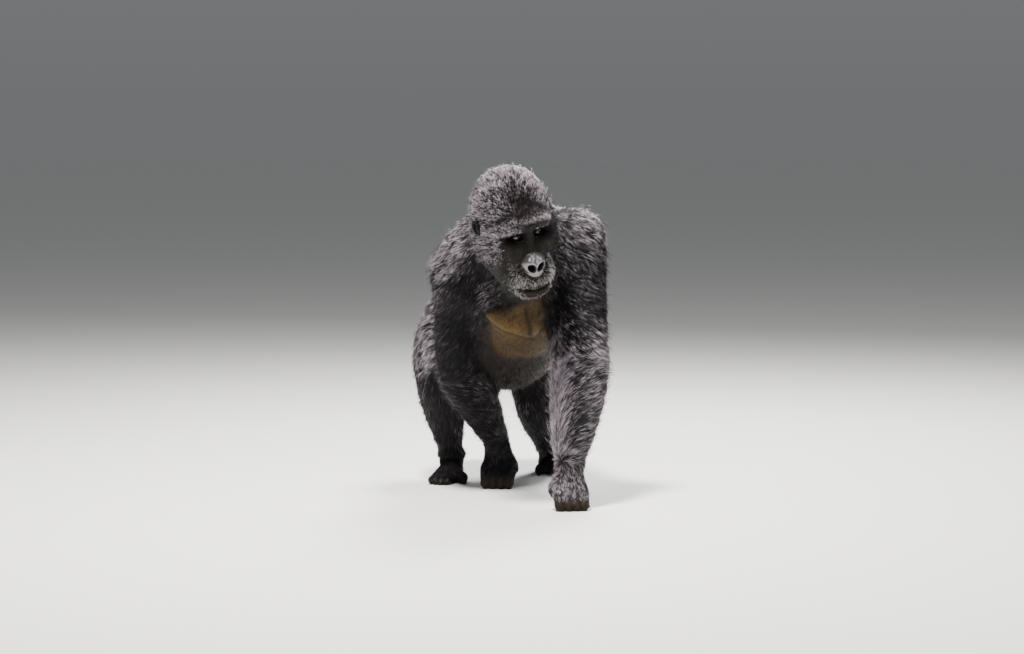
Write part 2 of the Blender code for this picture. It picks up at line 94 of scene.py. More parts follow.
coat = {  # depth over the skin, tuft length and width in metres, crowding, lift of the tips, gathering
    "head": (0.013, 0.023, 0.0013, 2.00, 0.95, 0.35),
    "neck": (0.018, 0.029, 0.0015, 1.15, 0.95, 0.30),
    "chest": (0.018, 0.037, 0.0018, 0.95, 0.75, 0.38),
    "abdomen": (0.018, 0.044, 0.0018, 0.80, 0.75, 0.40),
    "left_upper_arm": (0.022, 0.038, 0.0017, 1.30, 1.10, 0.36),
    "left_forearm": (0.023, 0.043, 0.0016, 1.35, 0.90, 0.42),
    "left_hand": (0.007, 0.022, 0.0013, 1.20, 0.80, 0.35),
    "right_upper_arm": (0.022, 0.039, 0.0017, 1.25, 0.85, 0.38),
    "right_forearm": (0.022, 0.046, 0.0016, 1.20, 0.90, 0.42),
    "right_hand": (0.007, 0.022, 0.0013, 1.10, 0.80, 0.35),
    "left_thigh": (0.020, 0.044, 0.0018, 0.85, 0.80, 0.50),
    "left_shank": (0.018, 0.042, 0.0017, 0.95, 0.85, 0.50),
    "left_foot": (0.004, 0.014, 0.0012, 0.90, 0.70, 0.30),
    "right_thigh": (0.020, 0.044, 0.0018, 0.95, 0.80, 0.50),
    "right_shank": (0.018, 0.042, 0.0017, 0.95, 0.85, 0.50),
    "right_foot": (0.004, 0.014, 0.0012, 0.90, 0.70, 0.30),
}
fleshNodes = list(coat)


def inHead(points):
    return (points - np.array(headOrigin)) @ headAxes


def fromHead(points):
    return points @ headAxes.T + np.array(headOrigin)


def inExtremity(points, node):
    # across towards the thumb or great toe, and ahead
    joint, heading, side, _ = extremities[node]
    away = points - joints[joint]
    c, s = math.cos(math.radians(heading)), math.sin(math.radians(heading))
    return (c * away[:, 0] + s * away[:, 1]) * side, s * away[:, 0] - c * away[:, 1]


def unit(vectors):
    return vectors / np.maximum(np.linalg.norm(vectors, axis=-1, keepdims=True), 1e-9)


def dot(one, other):
    return (one * other).sum(1, keepdims=True)


def ease(low, high, value):
    # 0 at low, 1 at high, and smooth between them
    t = np.clip((value - low) / (high - low), 0, 1)
    return t * t * (3 - 2 * t)


def bell(value, width):
    return np.exp(-((value / width) ** 2))


def addNode(tree, kind, settings=None, sockets=None):
    # settings come first, such as an operation or a ramp's stops, then its sockets' values or links
    node = tree.nodes.new(kind)
    for key, value in (settings or {}).items():
        if key == "stops":
            ramp = node.color_ramp.elements
            while len(ramp) < len(value):
                ramp.new(0.5)
            for stop, (place, shade) in zip(ramp, value):
                stop.position, stop.color = place, (*shade, 1)
        else:
            setattr(node, key, value)
    for key, value in (sockets or {}).items():
        if isinstance(value, Wire):
            value = value.socket
        if isinstance(value, bpy.types.NodeSocket):
            tree.links.new(value, node.inputs[key])
        else:
            node.inputs[key].default_value = value
    return node


# shader helper: sockets that add up like numbers
class Wire:
    def __init__(self, net, socket):
        self.net, self.socket = net, socket

    def math(self, operation, first, second):
        return self.net.add("ShaderNodeMath", {"operation": operation}, {0: first, 1: second})

    def held(self):
        return self.net.add("ShaderNodeClamp", {}, {"Value": self})

    def __add__(self, other):
        return self.math("ADD", self, other)

    def __radd__(self, other):
        return self.math("ADD", other, self)

    def __sub__(self, other):
        return self.math("SUBTRACT", self, other)

    def __rsub__(self, other):
        return self.math("SUBTRACT", other, self)

    def __mul__(self, other):
        return self.math("MULTIPLY", self, other)

    def __rmul__(self, other):
        return self.math("MULTIPLY", other, self)

    def __pow__(self, other):
        return self.math("POWER", self, other)


class Net:
    def __init__(self, name, **constants):
        self.material = bpy.data.materials.new(name)
        self.material.use_nodes = True
        self.tree = self.material.node_tree
        self.shader = next(n for n in self.tree.nodes if n.type == "BSDF_PRINCIPLED")
        for socket, value in constants.items():
            self.shader.inputs[socket].default_value = value

    def add(self, kind, settings=None, sockets=None, out=0):
        return Wire(self, addNode(self.tree, kind, settings, sockets).outputs[out])

    def mask(self, name):
        return self.add("ShaderNodeAttribute", {"attribute_name": name}, out="Fac")

    def place(self):
        return self.add("ShaderNodeTexCoord", out="Object")

    def noise(self, scale, detail):
        sockets = {"Vector": self.place(), "Scale": scale, "Detail": detail, "Roughness": 0.55}
        return self.add("ShaderNodeTexNoise", {}, sockets)

    def blend(self, factor, low, high):
        low, high = [(*x, 1) if isinstance(x, tuple) else x for x in (low, high)]
        settings = {"data_type": "RGBA", "clamp_factor": True}
        return self.add("ShaderNodeMix", settings, {0: factor, 6: low, 7: high}, out=2)

    def feed(self, **links):
        for name, wire in links.items():
            self.tree.links.new(wire.socket, self.shader.inputs[name.replace("_", " ")])
        return self.material


# mesh helpers
def objectFrom(name, mesh):
    made = bpy.data.objects.new(name, mesh)
    bpy.context.scene.collection.objects.link(made)
    return made


def meshFrom(bm, name):
    mesh = bpy.data.meshes.new(name)
    bm.to_mesh(mesh)
    bm.free()
    return mesh


def settled(obj):
    # the object with its modifiers applied
    bpy.context.view_layer.update()
    mesh = bpy.data.meshes.new_from_object(obj.evaluated_get(bpy.context.evaluated_depsgraph_get()))
    name = obj.name
    bpy.data.objects.remove(obj)
    return objectFrom(name, mesh)


def remeshed(mesh, voxel, smoothing):
    made = objectFrom("mass", mesh)
    remesh = made.modifiers.new("remesh", "REMESH")
    remesh.mode, remesh.voxel_size = "VOXEL", voxel
    if smoothing:
        smooth = made.modifiers.new("smooth", "SMOOTH")
        smooth.factor, smooth.iterations = 0.5, smoothing
    made = settled(made)
    mesh = made.data
    bpy.data.objects.remove(made)
    return mesh


def read(items, what, width, kind=np.float32):
    flat = np.empty(len(items) * width, kind)
    items.foreach_get(what, flat)
    return flat.reshape(-1, width)


def readPoints(mesh):
    return read(mesh.vertices, "co", 3).astype(float)


def readNormals(mesh):
    return read(mesh.vertex_normals, "vector", 3).astype(float)


def writePoints(mesh, co):
    mesh.vertices.foreach_set("co", co.astype(np.float32).ravel())
    mesh.update()


def writeValues(mesh, name, values, kind="FLOAT", field="value"):
    layer = mesh.attributes.new(name, kind, "POINT")
    layer.data.foreach_set(field, np.asarray(values, np.float32).ravel())


def swollen(node, by):
    # a closed copy of a node's mesh, moved out along its normals
    bm = bmesh.new()
    bm.from_mesh(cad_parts[node].data)
    bmesh.ops.remove_doubles(bm, verts=bm.verts, dist=1e-5)
    bm.normal_update()
    for vert in bm.verts:
        vert.co += vert.normal * by
    return meshFrom(bm, node + "Copy")


# the skin: one surface made from the flesh, drawn in later by the coat's depth times drawnIn
skin = {"voxel": 0.0120, "swell": 0.0012, "smoothing": 10, "drawnIn": 0.80, "lowest": 0.0004}
mouth = {"height": -0.1930, "halfWidth": 0.072, "curve": 0.024}
finer = {  # where faces are halved once more: the breast, all that is low, each hand and foot, in metres
    "breast": ((-0.11, 0.15), (-1.0, 0.30), (0.52, 0.72)), "low": 0.125, "halfAcross": 0.075,
    "hand": (0.02, 0.12, 0.092), "foot": (0.125, 0.25, 0.06),
}


def fleshMass():
    bm = bmesh.new()
    for node in fleshNodes:
        bm.from_mesh(swollen(node, skin["swell"]))
    return remeshed(meshFrom(bm, "fleshMass"), skin["voxel"], 0)


def keepOutside(bm):
    # the largest of the separate surfaces stays
    bm.verts.ensure_lookup_table()
    seen, islands = set(), []
    for start in bm.verts:
        if start in seen:
            continue
        island, todo = [], [start]
        seen.add(start)
        while todo:
            vert = todo.pop()
            island.append(vert)
            for edge in vert.link_edges:
                other = edge.other_vert(vert)
                if other not in seen:
                    seen.add(other)
                    todo.append(other)
        islands.append(island)
    islands.sort(key=len)
    for island in islands[:-1]:
        bmesh.ops.delete(bm, geom=island, context="VERTS")


def mouthLine(u):
    t = np.minimum(np.abs(u) / mouth["halfWidth"], 1.15)
    return mouth["height"] + mouth["curve"] * (t**2 - 0.50 * t**4)


def fineness(h):
    # how many times the faces near each point are halved: more towards the eyes, nose and mouth
    u, y, v = np.abs(h[:, 0]), h[:, 1], h[:, 2]
    one = (u < 0.125) & (v > -0.262) & (v < 0.090) & (y < 0.080)
    two = (u < 0.098) & (v > -0.255) & (v < 0.078) & (y < 0.055)
    eyes = ((u - 0.0395) / 0.030) ** 2 + ((v - 0.001) / 0.021) ** 2 < 1
    nose = (u < 0.052) & (v > -0.147) & (v < -0.050) | (u < 0.030) & (v > -0.06) & (v < 0.045)
    lips = (u < 0.082) & (np.abs(v - mouthLine(u)) < 0.012)
    three = two & (y < 0.03) & (eyes | nose | lips)
    return one.astype(int) + two + three


def refined(bm):
    for level in (1, 2, 3):
        bm.verts.ensure_lookup_table()
        bm.verts.index_update()
        co = np.array([v.co for v in bm.verts])
        fine = fineness(inHead(co)) >= level
        if level == 1:  # hands, feet and the bare breast are halved once as well
            away = co - np.array(walkOrigin)
            onBreast = np.ones(len(co), bool)
            for axis, (low, high) in enumerate(finer["breast"]):
                onBreast &= (away[:, axis] > low) & (away[:, axis] < high)
            fine |= (co[:, 2] < finer["low"]) | onBreast
        if level == 2:
            for node in extremities:
                across, ahead = inExtremity(co, node)
                start, end, top = finer["hand" if "hand" in node else "foot"]
                inside = (ahead > start) & (ahead < end) & (co[:, 2] < top)
                fine |= inside & (np.abs(across) < finer["halfAcross"])
        edges = [e for e in bm.edges if fine[e.verts[0].index] and fine[e.verts[1].index]]
        bmesh.ops.subdivide_edges(bm, edges=edges, cuts=1, use_grid_fill=True)


bm = bmesh.new()
bm.from_mesh(fleshMass())
keepOutside(bm)
refined(bm)
bmesh.ops.triangulate(bm, faces=[f for f in bm.faces if len(f.verts) > 4])
skinMesh = meshFrom(bm, "skin")
edges = read(skinMesh.edges, "vertices", 2, np.int32)
linkCount = np.bincount(edges.ravel(), minlength=len(skinMesh.vertices)).astype(float)
print("flesh gathered:", len(skinMesh.vertices), "points")


def relaxed(values, passes, amount):
    # each point drifts towards the mean of its neighbours
    amount = np.broadcast_to(np.asarray(amount, float), len(values))[:, None]
    a, b = edges[:, 0], edges[:, 1]
    size = len(values)
    for _ in range(passes):
        columns = values.T
        total = np.stack([np.bincount(a, c[b], size) + np.bincount(b, c[a], size) for c in columns], 1)
        values = values + amount * (total / linkCount[:, None] - values)
    return values


def nodeShares(co):
    # how far each point belongs to each of the flesh nodes, softened over the borders
    owners, tree = [], KDTree(sum(len(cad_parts[n].data.vertices) for n in fleshNodes))
    for index, node in enumerate(fleshNodes):
        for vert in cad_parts[node].data.vertices:
            tree.insert(vert.co, len(owners))
            owners.append(index)
    tree.balance()
    hard = np.zeros((len(co), len(fleshNodes)))
    for i, point in enumerate(co):
        hard[i, owners[tree.find(point)[1]]] = 1
    soft = relaxed(hard, 10, 0.6)
    return soft / soft.sum(1, keepdims=True)


co = readPoints(skinMesh)
shares = nodeShares(co)
share = {node: shares[:, i] for i, node in enumerate(fleshNodes)}
isHand = share["left_hand"] + share["right_hand"]
isFoot = share["left_foot"] + share["right_foot"]
torso = share["chest"] + share["abdomen"] + share["neck"]
gentle = np.clip(isHand + isFoot, 0, 1)
face = fineness(inHead(co)) >= 1
co = relaxed(co, skin["smoothing"], 0.5 * (1 - gentle) * np.where(face, 0.7, 1.0))
co = relaxed(co, 4, 0.35 * gentle)
co[:, 2] = np.maximum(co[:, 2], skin["lowest"])
writePoints(skinMesh, co)

# the face, as heights above the head's own front plane: u to the left, v up
bareEdge = {  # how far out from the middle the bare face reaches, by height
    "height": [-0.262, -0.240, -0.205, -0.160, -0.100, -0.078, -0.064, -0.020, 0.014, 0.027, 0.037],
    "reach": [0.000, 0.066, 0.104, 0.124, 0.124, 0.112, 0.104, 0.101, 0.094, 0.062, 0.000],
}
faceForms = {  # centre and half sizes in the head's frame; those off the middle are mirrored
    "middle": ((0, 0.012, -0.060), (0.078, 0.045, 0.070)),
    "cheekbone": ((0.066, 0.016, -0.031), (0.036, 0.035, 0.026)),
    "underEye": ((0.040, 0.010, -0.026), (0.026, 0.026, 0.017)),
    "muzzleSide": ((0.044, 0.014, -0.144), (0.043, 0.046, 0.056)),
    "forehead": ((0, 0.121, 0.030), (0.130, 0.113, 0.200)),
    "upperLip": ((0, -0.004, -0.153), (0.066, 0.048, 0.048)),
    "lowerLip": ((0, 0.006, -0.201), (0.064, 0.044, 0.030)),
    "chin": ((0, 0.018, -0.212), (0.058, 0.040, 0.030)),
}
browRidge = {
    "across": [0, 0.030, 0.058, 0.078, 0.100], "height": [0.043, 0.043, 0.041, 0.033, 0.015],
    "front": [0.031, 0.030, 0.022, 0.006, -0.024], "radius": 0.025,
}
noseBridge = {
    "height": [-0.085, -0.058, -0.016, 0.026, 0.040], "front": [0.044, 0.038, 0.0275, 0.025, 0.020],
    "radius": 0.0185,
}
eyeShape = {
    "apart": 0.0395, "ball": 0.0125, "lid": 0.0030, "halfWidth": 0.0155, "upper": 0.0078, "lower": 0.0066,
    "slant": 0.08, "sunk": 0.018, "rim": 0.0012,
}
nosePad = {
    "height": -0.0945, "halfWidth": 0.0415, "halfHeight": 0.0410, "front": 0.0515, "round": 0.019,
    "lobe": 0.0045, "furrow": 0.0032, "cleft": 0.0040, "bumps": 0.00045,
}
nostril = {
    "apart": 0.0165, "height": -0.1035, "across": 0.0124, "along": 0.0195, "lean": 36, "depth": 0.030,
    "rim": 0.0016,
}
wrinkles = {  # how deep each kind is, in metres
    "lidFold": 0.0020, "underEye": ((0.0135, 0.0022), (0.0195, 0.0020), (0.0255, 0.0015)), "frown": 0.0018,
    "besideBridge": 0.0026, "mouthLine": 0.0075, "upperRoll": 0.0022, "lowerRoll": 0.0030,
    "muzzleFold": 0.0030, "mouthCorner": 0.0011, "cheek": 0.0008, "groove": 0.0012,
}


def front(u, v, at, size):
    # height of an ellipsoid's front, falling away smoothly beyond its outline
    q = ((u - at[0]) / size[0]) ** 2 + ((v - at[2]) / size[2]) ** 2
    return -at[1] + size[1] * np.where(q < 1, np.sqrt(np.clip(1 - q, 0, 1)), 1.2 * (1 - q))


def softMax(heights, softness):
    stack = np.stack(heights)
    top = stack.max(0)
    return top + softness * np.log(np.exp((stack - top) / softness).sum(0))


def padAway(a, v):
    # 1 at the nose pad's outline
    return np.hypot(a / nosePad["halfWidth"], (v - nosePad["height"]) / nosePad["halfHeight"])


def nostrilAway(a, v):
    # 1 at the rim of the nostril
    turn = math.radians(nostril["lean"])
    nu, nv = a - nostril["apart"], v - nostril["height"]
    along = nu * math.sin(turn) + nv * math.cos(turn)
    across = nu * math.cos(turn) - nv * math.sin(turn)
    return np.hypot(across / nostril["across"], along / nostril["along"])


def faceMasses(a, v):
    # the rounded forms, the brow ridge, the bridge and the pad of the nose, run together
    heights = [front(a, v, at, size) for at, size in faceForms.values()]
    radius = browRidge["radius"]
    ridgeAt = np.interp(a, browRidge["across"], browRidge["height"])
    ridgeFront = np.interp(a, browRidge["across"], browRidge["front"])
    heights.append(front(0 * a, v - ridgeAt, (0, 0, 0), (1, radius, radius)) - radius + ridgeFront)
    radius = noseBridge["radius"]
    bridgeFront = np.interp(v, noseBridge["height"], noseBridge["front"])
    bridge = front(a, 0 * v, (0, 0, 0), (radius, radius, 1)) - radius + bridgeFront
    heights.append(bridge - 0.10 * ease(-0.075, -0.12, v) - 0.10 * ease(0.040, 0.065, v))
    pad = padAway(a, v)
    lobes = nosePad["lobe"] * bell(a - 0.021, 0.014) * bell(v - nosePad["height"] - 0.014, 0.024)
    heights.append(nosePad["front"] + lobes - nosePad["round"] * pad**4 - 0.024 * np.clip(pad - 1, 0, 2))
    return softMax(heights, 0.0045 + 0.0110 * ease(0.035, 0.070, v))  # more in the hollow over the brow


def withLids(w, a, v):
    # lids closing over the eyeball, with an opening between them
    du, dv = a - eyeShape["apart"], v - eyeShape["slant"] * (a - eyeShape["apart"])
    lidRadius = eyeShape["ball"] + eyeShape["lid"]
    swell = np.sqrt(np.clip(lidRadius**2 - (du * 0.80) ** 2 - dv**2, 0, 1))
    w = softMax([w, -headPose["eyeDepth"] + swell - 0.02 * (np.hypot(du, dv) > lidRadius)], 0.0016)
    w -= wrinkles["lidFold"] * bell(dv - 0.0125 + 12 * du**2, 0.0022) * bell(du, 0.018)
    below = ease(0.034, 0.018, np.abs(du))
    for out, deep in wrinkles["underEye"]:
        w -= deep * bell(np.hypot(du * 0.62, dv) - out, 0.0016) * ease(0.002, -0.006, dv) * below
    edge = np.sqrt(np.clip(1 - (du / eyeShape["halfWidth"]) ** 2, 0, 1))
    upper, lower = dv / (eyeShape["upper"] * edge + 1e-6), -dv / (eyeShape["lower"] * edge + 1e-6)
    opening = np.where(np.abs(du) < eyeShape["halfWidth"], np.where(dv > 0, upper, lower), 9)
    w += eyeShape["rim"] * bell(opening - 1.25, 0.28) * (opening < 3)
    return np.where(opening < 1, w - eyeShape["sunk"] * ease(1.0, 0.80, opening), w)


def withNose(w, u, v):
    # frown lines between the brows, lines slanting down beside the bridge, then the pad's own forms
    a = np.abs(u)
    w -= wrinkles["frown"] * bell(a - 0.009, 0.0022) * ease(0.010, 0.024, v) * ease(0.060, 0.045, v)
    for place in (0.017, 0.025):
        slanting = bell(a - place - 0.30 * (-0.030 - v), 0.0024)
        w -= wrinkles["besideBridge"] * slanting * ease(-0.062, -0.046, v) * ease(-0.004, -0.018, v)
    pad, hole = padAway(a, v), nostrilAway(a, v)
    w -= nosePad["furrow"] * bell(pad - 1.08, 0.10) * ease(-0.136, -0.105, v)
    w -= nosePad["cleft"] * bell(a, 0.0022) * ease(-0.055, -0.062, v) * ease(-0.098, -0.086, v)
    w += nostril["rim"] * bell(hole - 1.50, 0.38)
    w -= nostril["depth"] * ease(1.10, 0.62, hole)
    w -= wrinkles["groove"] * bell(a, 0.0035) * ease(-0.128, -0.140, v) * ease(-0.186, -0.176, v)
    bumps = nosePad["bumps"] * np.sin(u * 850 + 2.5 * np.sin(v * 310))
    bumps = bumps * np.sin(v * 790 + 2.5 * np.sin(u * 290))
    return w + bumps * ease(1.1, 0.9, pad)


def withMouth(w, a, v):
    # a long closed line with rolled lips, and folds beside and round it
    line = mouthLine(a)
    parted = ease(1.02, 0.86, a / mouth["halfWidth"])
    w -= wrinkles["mouthLine"] * bell(v - line, 0.0020) * parted
    upperRoll = wrinkles["upperRoll"] * bell(v - line - 0.0075, 0.0052) * parted
    w += upperRoll + wrinkles["lowerRoll"] * bell(v - line + 0.0095, 0.0065) * parted
    fold = bell(a - 0.052 - 0.30 * (-0.090 - v), 0.0045)
    w -= wrinkles["muzzleFold"] * fold * ease(-0.172, -0.150, v) * ease(-0.070, -0.090, v)
    fromCorner = a - mouth["halfWidth"] + 0.010
    turn = np.arctan2(v - line, fromCorner)
    fan = np.maximum(np.cos(turn * 9), 0) ** 3
    w -= wrinkles["mouthCorner"] * fan * bell(np.hypot(fromCorner, v - line) - 0.020, 0.010)
    stripes = np.maximum(np.sin((a - 0.25 * v) * 620 + 2.5 * np.sin(v * 85)), 0) ** 2
    stripes = wrinkles["cheek"] * stripes * bell(a - 0.062, 0.022)
    return w - stripes * ease(-0.165, -0.140, v) * ease(-0.030, -0.055, v)


def faceHeight(u, v):
    a = np.abs(u)
    return withMouth(withNose(withLids(faceMasses(a, v), a, v), u, v), a, v)


def bareness(h):
    # 1 on the bare face, 0 on the coat
    u, y, v = np.abs(h[:, 0]), h[:, 1], h[:, 2]
    reach = np.interp(v, bareEdge["height"], bareEdge["reach"], left=0, right=0)
    ragged = 0.0045 * np.sin(v * 230 + 2.0 * np.sin(v * 71)) * ease(0.02, -0.01, v)
    fade = 0.006 + 0.010 * ease(0.010, -0.030, v)  # sparser towards the cheeks' edge
    inFront = ease(0.105, 0.085, y - 0.020 * ease(-0.09, -0.13, v))
    return ease(fade, -fade, u - reach - ragged) * (reach > 0) * inFront


def sculptFace(co):
    h = inHead(co)
    u, v = h[:, 0], h[:, 2]
    w, was = faceHeight(u, v), -h[:, 1]
    near = ease(0.060, 0.035, np.abs(was - w))
    outer = np.maximum(ease(0.058, 0.080, np.abs(u)), ease(0.060, 0.085, v))
    outer = np.maximum(outer, ease(-0.205, -0.222, v))
    w = w + outer * (softMax([w, was], 0.006) - w)  # towards its edges the face only adds to what is there
    inside = ease(0.112, 0.080, np.abs(u)) * ease(0.115, 0.080, v) * ease(-0.244, -0.222, v) * near
    h[:, 1] += inside * (-w - h[:, 1])
    return fromHead(h), inside


def distanceTo(bare, co, furthest=0.35):
    # from each point near the head to the bare face
    tree = KDTree(int(bare.sum()))
    for point in co[bare]:
        tree.insert(point, 0)
    tree.balance()
    away = np.full(len(co), 1.0)
    for i in np.flatnonzero(np.linalg.norm(co - np.array(headOrigin), axis=1) < furthest):
        away[i] = tree.find(co[i])[2]
    return away


bareFace = bareness(inHead(co))
walk = co - np.array(walkOrigin)
breastZone = (
    ease(0.450, 0.350, walk[:, 1]) * ease(0.405, 0.525, walk[:, 2])
    * ease(0.025, -0.025, walk[:, 2] - 0.708 - 0.34 * walk[:, 0])
    * ease(-0.145, -0.060, walk[:, 0]) * ease(0.185, 0.115, walk[:, 0]) * torso
)
offFace = ease(0.0, 0.050, distanceTo(bareFace > 0.5, co))  # the coat starts short at the face's edge
sole = ease(0.040, 0.018, co[:, 2]) * isFoot
knuckles = ease(0.060, 0.035, co[:, 2]) * isHand
depths = shares @ np.array([coat[node][0] for node in fleshNodes])
depths = depths * (1 - bareFace) * (0.15 + 0.85 * offFace) * (1 - 0.8 * breastZone) * (1 - sole)
depths = depths * (1 - ease(0.095, 0.050, co[:, 2]) * isHand)
depths = skin["drawnIn"] * relaxed(depths[:, None], 5, 0.5)[:, 0] * (1 - 0.9 * bareFace)
for step in range(4):  # drawn in a little at a time
    co = co - readNormals(skinMesh) * depths[:, None] / 4
    co = relaxed(co, 1, 0.4 * (1 - gentle) * (1 - bareFace))
    writePoints(skinMesh, co)
co, sculpted = sculptFace(co)
rim = ease(0.02, 0.5, sculpted) * ease(0.99, 0.5, sculpted)
co = relaxed(co, 14, 0.5 * rim)
writePoints(skinMesh, co)
print("skin drawn in and face modelled")

# breast: two flat folds that meet in a V, with a crease up the middle; points across and up from walkOrigin
breast = {
    "fold": ((-0.084, 0.6565), (-0.030, 0.617), (0.0726, 0.583), (0.119, 0.6425)),
    "crease": ((0.049, 0.685), (0.060, 0.635), (0.070, 0.586)),
    "swell": 0.017, "cut": 0.0055, "width": 0.009, "thinned": 0.027,
}


def lineAway(points, stops):
    # distance from a line of straight runs, and how far above it
    best, above = np.full(len(points), 9.0), np.zeros(len(points))
    for first, last in zip(stops, stops[1:]):
        first, last = np.array(first), np.array(last)
        run = last - first
        t = np.clip(((points - first) @ run) / (run @ run), 0, 1)
        gap = points - (first + t[:, None] * run)
        length = np.linalg.norm(gap, axis=1)
        closer = length < best
        best = np.where(closer, length, best)
        above = np.where(closer, gap[:, 1], above)
    return best, above


normals = readNormals(skinMesh)
flat = (co - np.array(walkOrigin))[:, [0, 2]]
foldAway, aboveFold = lineAway(flat, breast["fold"])
creaseAway, _ = lineAway(flat, breast["crease"])
facing = ease(0.0, 0.5, -normals[:, 1]) * ease(0.36, 0.30, walk[:, 1]) * torso
swelling = breast["swell"] * ease(-0.009, 0.011, aboveFold) * ease(0.085, 0.010, foldAway)  # soft above
cut = breast["cut"] * bell(creaseAway, breast["width"])
co = co + normals * (facing * (swelling - cut))[:, None]

# fingers and toes: rounded between the grooves
digits = {
    "hand": {"radius": 0.0155, "round": 0.78, "from": (0.010, 0.042), "top": (0.095, 0.062)},
    "foot": {"radius": 0.0125, "round": 0.80, "from": (0.123, 0.155), "top": (0.300, 0.250)},
}
for node, (_, heading, _, middles) in extremities.items():
    kind = digits["hand" if "hand" in node else "foot"]
    across, ahead = inExtremity(co, node)
    gap = np.abs(across[:, None] - np.array(middles)[None]).min(1)
    t = np.clip(gap / kind["radius"], 0, 1) * 0.97
    sink = kind["round"] * kind["radius"] * (1 - np.sqrt(1 - t**2))
    where = ease(*kind["from"], ahead) * ease(*kind["top"], co[:, 2]) * share[node] * (np.abs(across) < 0.080)
    sideways = normals @ np.array([math.cos(math.radians(heading)), math.sin(math.radians(heading)), 0])
    high, low = max(middles), min(middles)
    inner = ease(high + 0.004, high, across) * ease(low - 0.004, low, across)
    co = co - normals * (sink * where * (1 - sideways**2 * (1 - inner)))[:, None]
co[:, 2] = np.maximum(co[:, 2], skin["lowest"])
writePoints(skinMesh, co)
print("breast, fingers and toes modelled")

# ears: fine shells let into the same surface, moved in with it
ears = {
    "inward": {"left": 0.012, "right": 0.005}, "voxel": 0.0019, "smoothing": 4,
    "at": (0.141, 0.108, 0.030), "clear": 0.026,
}


def earMesh(side):
    mesh = swollen(side + "_ear", 0.0)
    points = inHead(readPoints(mesh))
    points[:, 0] -= math.copysign(ears["inward"][side], points[:, 0].mean())
    writePoints(mesh, fromHead(points))
    return remeshed(mesh, ears["voxel"], ears["smoothing"])


# what each point of the skin is: bare or coated, and the markings that skin and coat share
normals = readNormals(skinMesh)
h = inHead(co)
u, y, v = h[:, 0], h[:, 1], h[:, 2]
walk = co - np.array(walkOrigin)
headShare = share["head"]
padFade = padAway(u, v)
onFace = headShare * ease(0.09, 0.06, y)
lipLine = mouthLine(u)
eyeAway = np.hypot((np.abs(u) - eyeShape["apart"]) / 1.25, v)
inNostril = ease(1.02, 0.80, nostrilAway(np.abs(u), v)) * onFace
marks = {
    "bare": np.clip(bareFace + 0.9 * breastZone + sole + knuckles, 0, 1),
    # socket: painted shade round the eyes and in the nostrils
    "socket": np.maximum(ease(0.032, 0.014, eyeAway) * onFace, inNostril),
    "pad": ease(1.12, 0.98, padFade) * onFace * (1 - inNostril),
}
# painted shade under the breast's fold and along its crease
shadeUnderFold = bell(foldAway - 0.004, 0.012) * (aboveFold < 0)
marks["fold"] = np.clip(shadeUnderFold + 0.7 * bell(creaseAway, 0.009), 0, 1) * facing
lower = ease(0.080, 0.055, np.abs(u)) * onFace * ease(0.002, -0.004, v - lipLine)
marks["lip"] = bell(v - lipLine + 0.012, 0.014) * lower

# the brow's light line, a painted highlight on the lit top of the ridge, and the dark patch over it, painted
# shade in the hollow behind the ridge with some brown of its own
overBrow = v - np.interp(np.abs(u), browRidge["across"], browRidge["height"])
brow = bell(overBrow - 0.008, 0.012) * ease(0.104, 0.085, np.abs(u)) * onFace
browHighlight = bell(overBrow - 0.001 - 0.012 * ease(-0.05, 0.01, u), 0.0062)
browHighlight = browHighlight * ease(0.110, 0.092, np.abs(u)) * onFace
browUnder = bell(overBrow - 0.004, 0.008) * ease(-0.070, -0.015, u) * ease(0.090, 0.060, u) * onFace
patchAbove = bell(u - 0.015, 0.048) * bell(v - 0.102, 0.034)
forehead = patchAbove + bell(overBrow - 0.034, 0.0095) * ease(0.115, 0.075, np.abs(u))
forehead = np.clip(forehead + 0.35 * bell(u, 0.016) * ease(0.12, 0.16, v), 0, 1)
forehead = forehead * ease(0.12, 0.08, y) * headShare
# the far side of the face, kept less grey: painted shade
farCheekShade = ease(0.070, 0.095, u) * ease(0.040, 0.010, v) * headShare
# the down-facing belly: browner, its own colour, and less grey, as painted shade on its underside
bellyBrownAndShade = torso * ease(0.50, -0.80, normals[:, 2]) * ease(0.78, 0.56, walk[:, 2])
browns = breastZone + 0.45 * browUnder + 0.32 * forehead + 0.55 * bellyBrownAndShade + 0.10 * isHand
marks["brown"] = np.clip(browns, 0, 1)


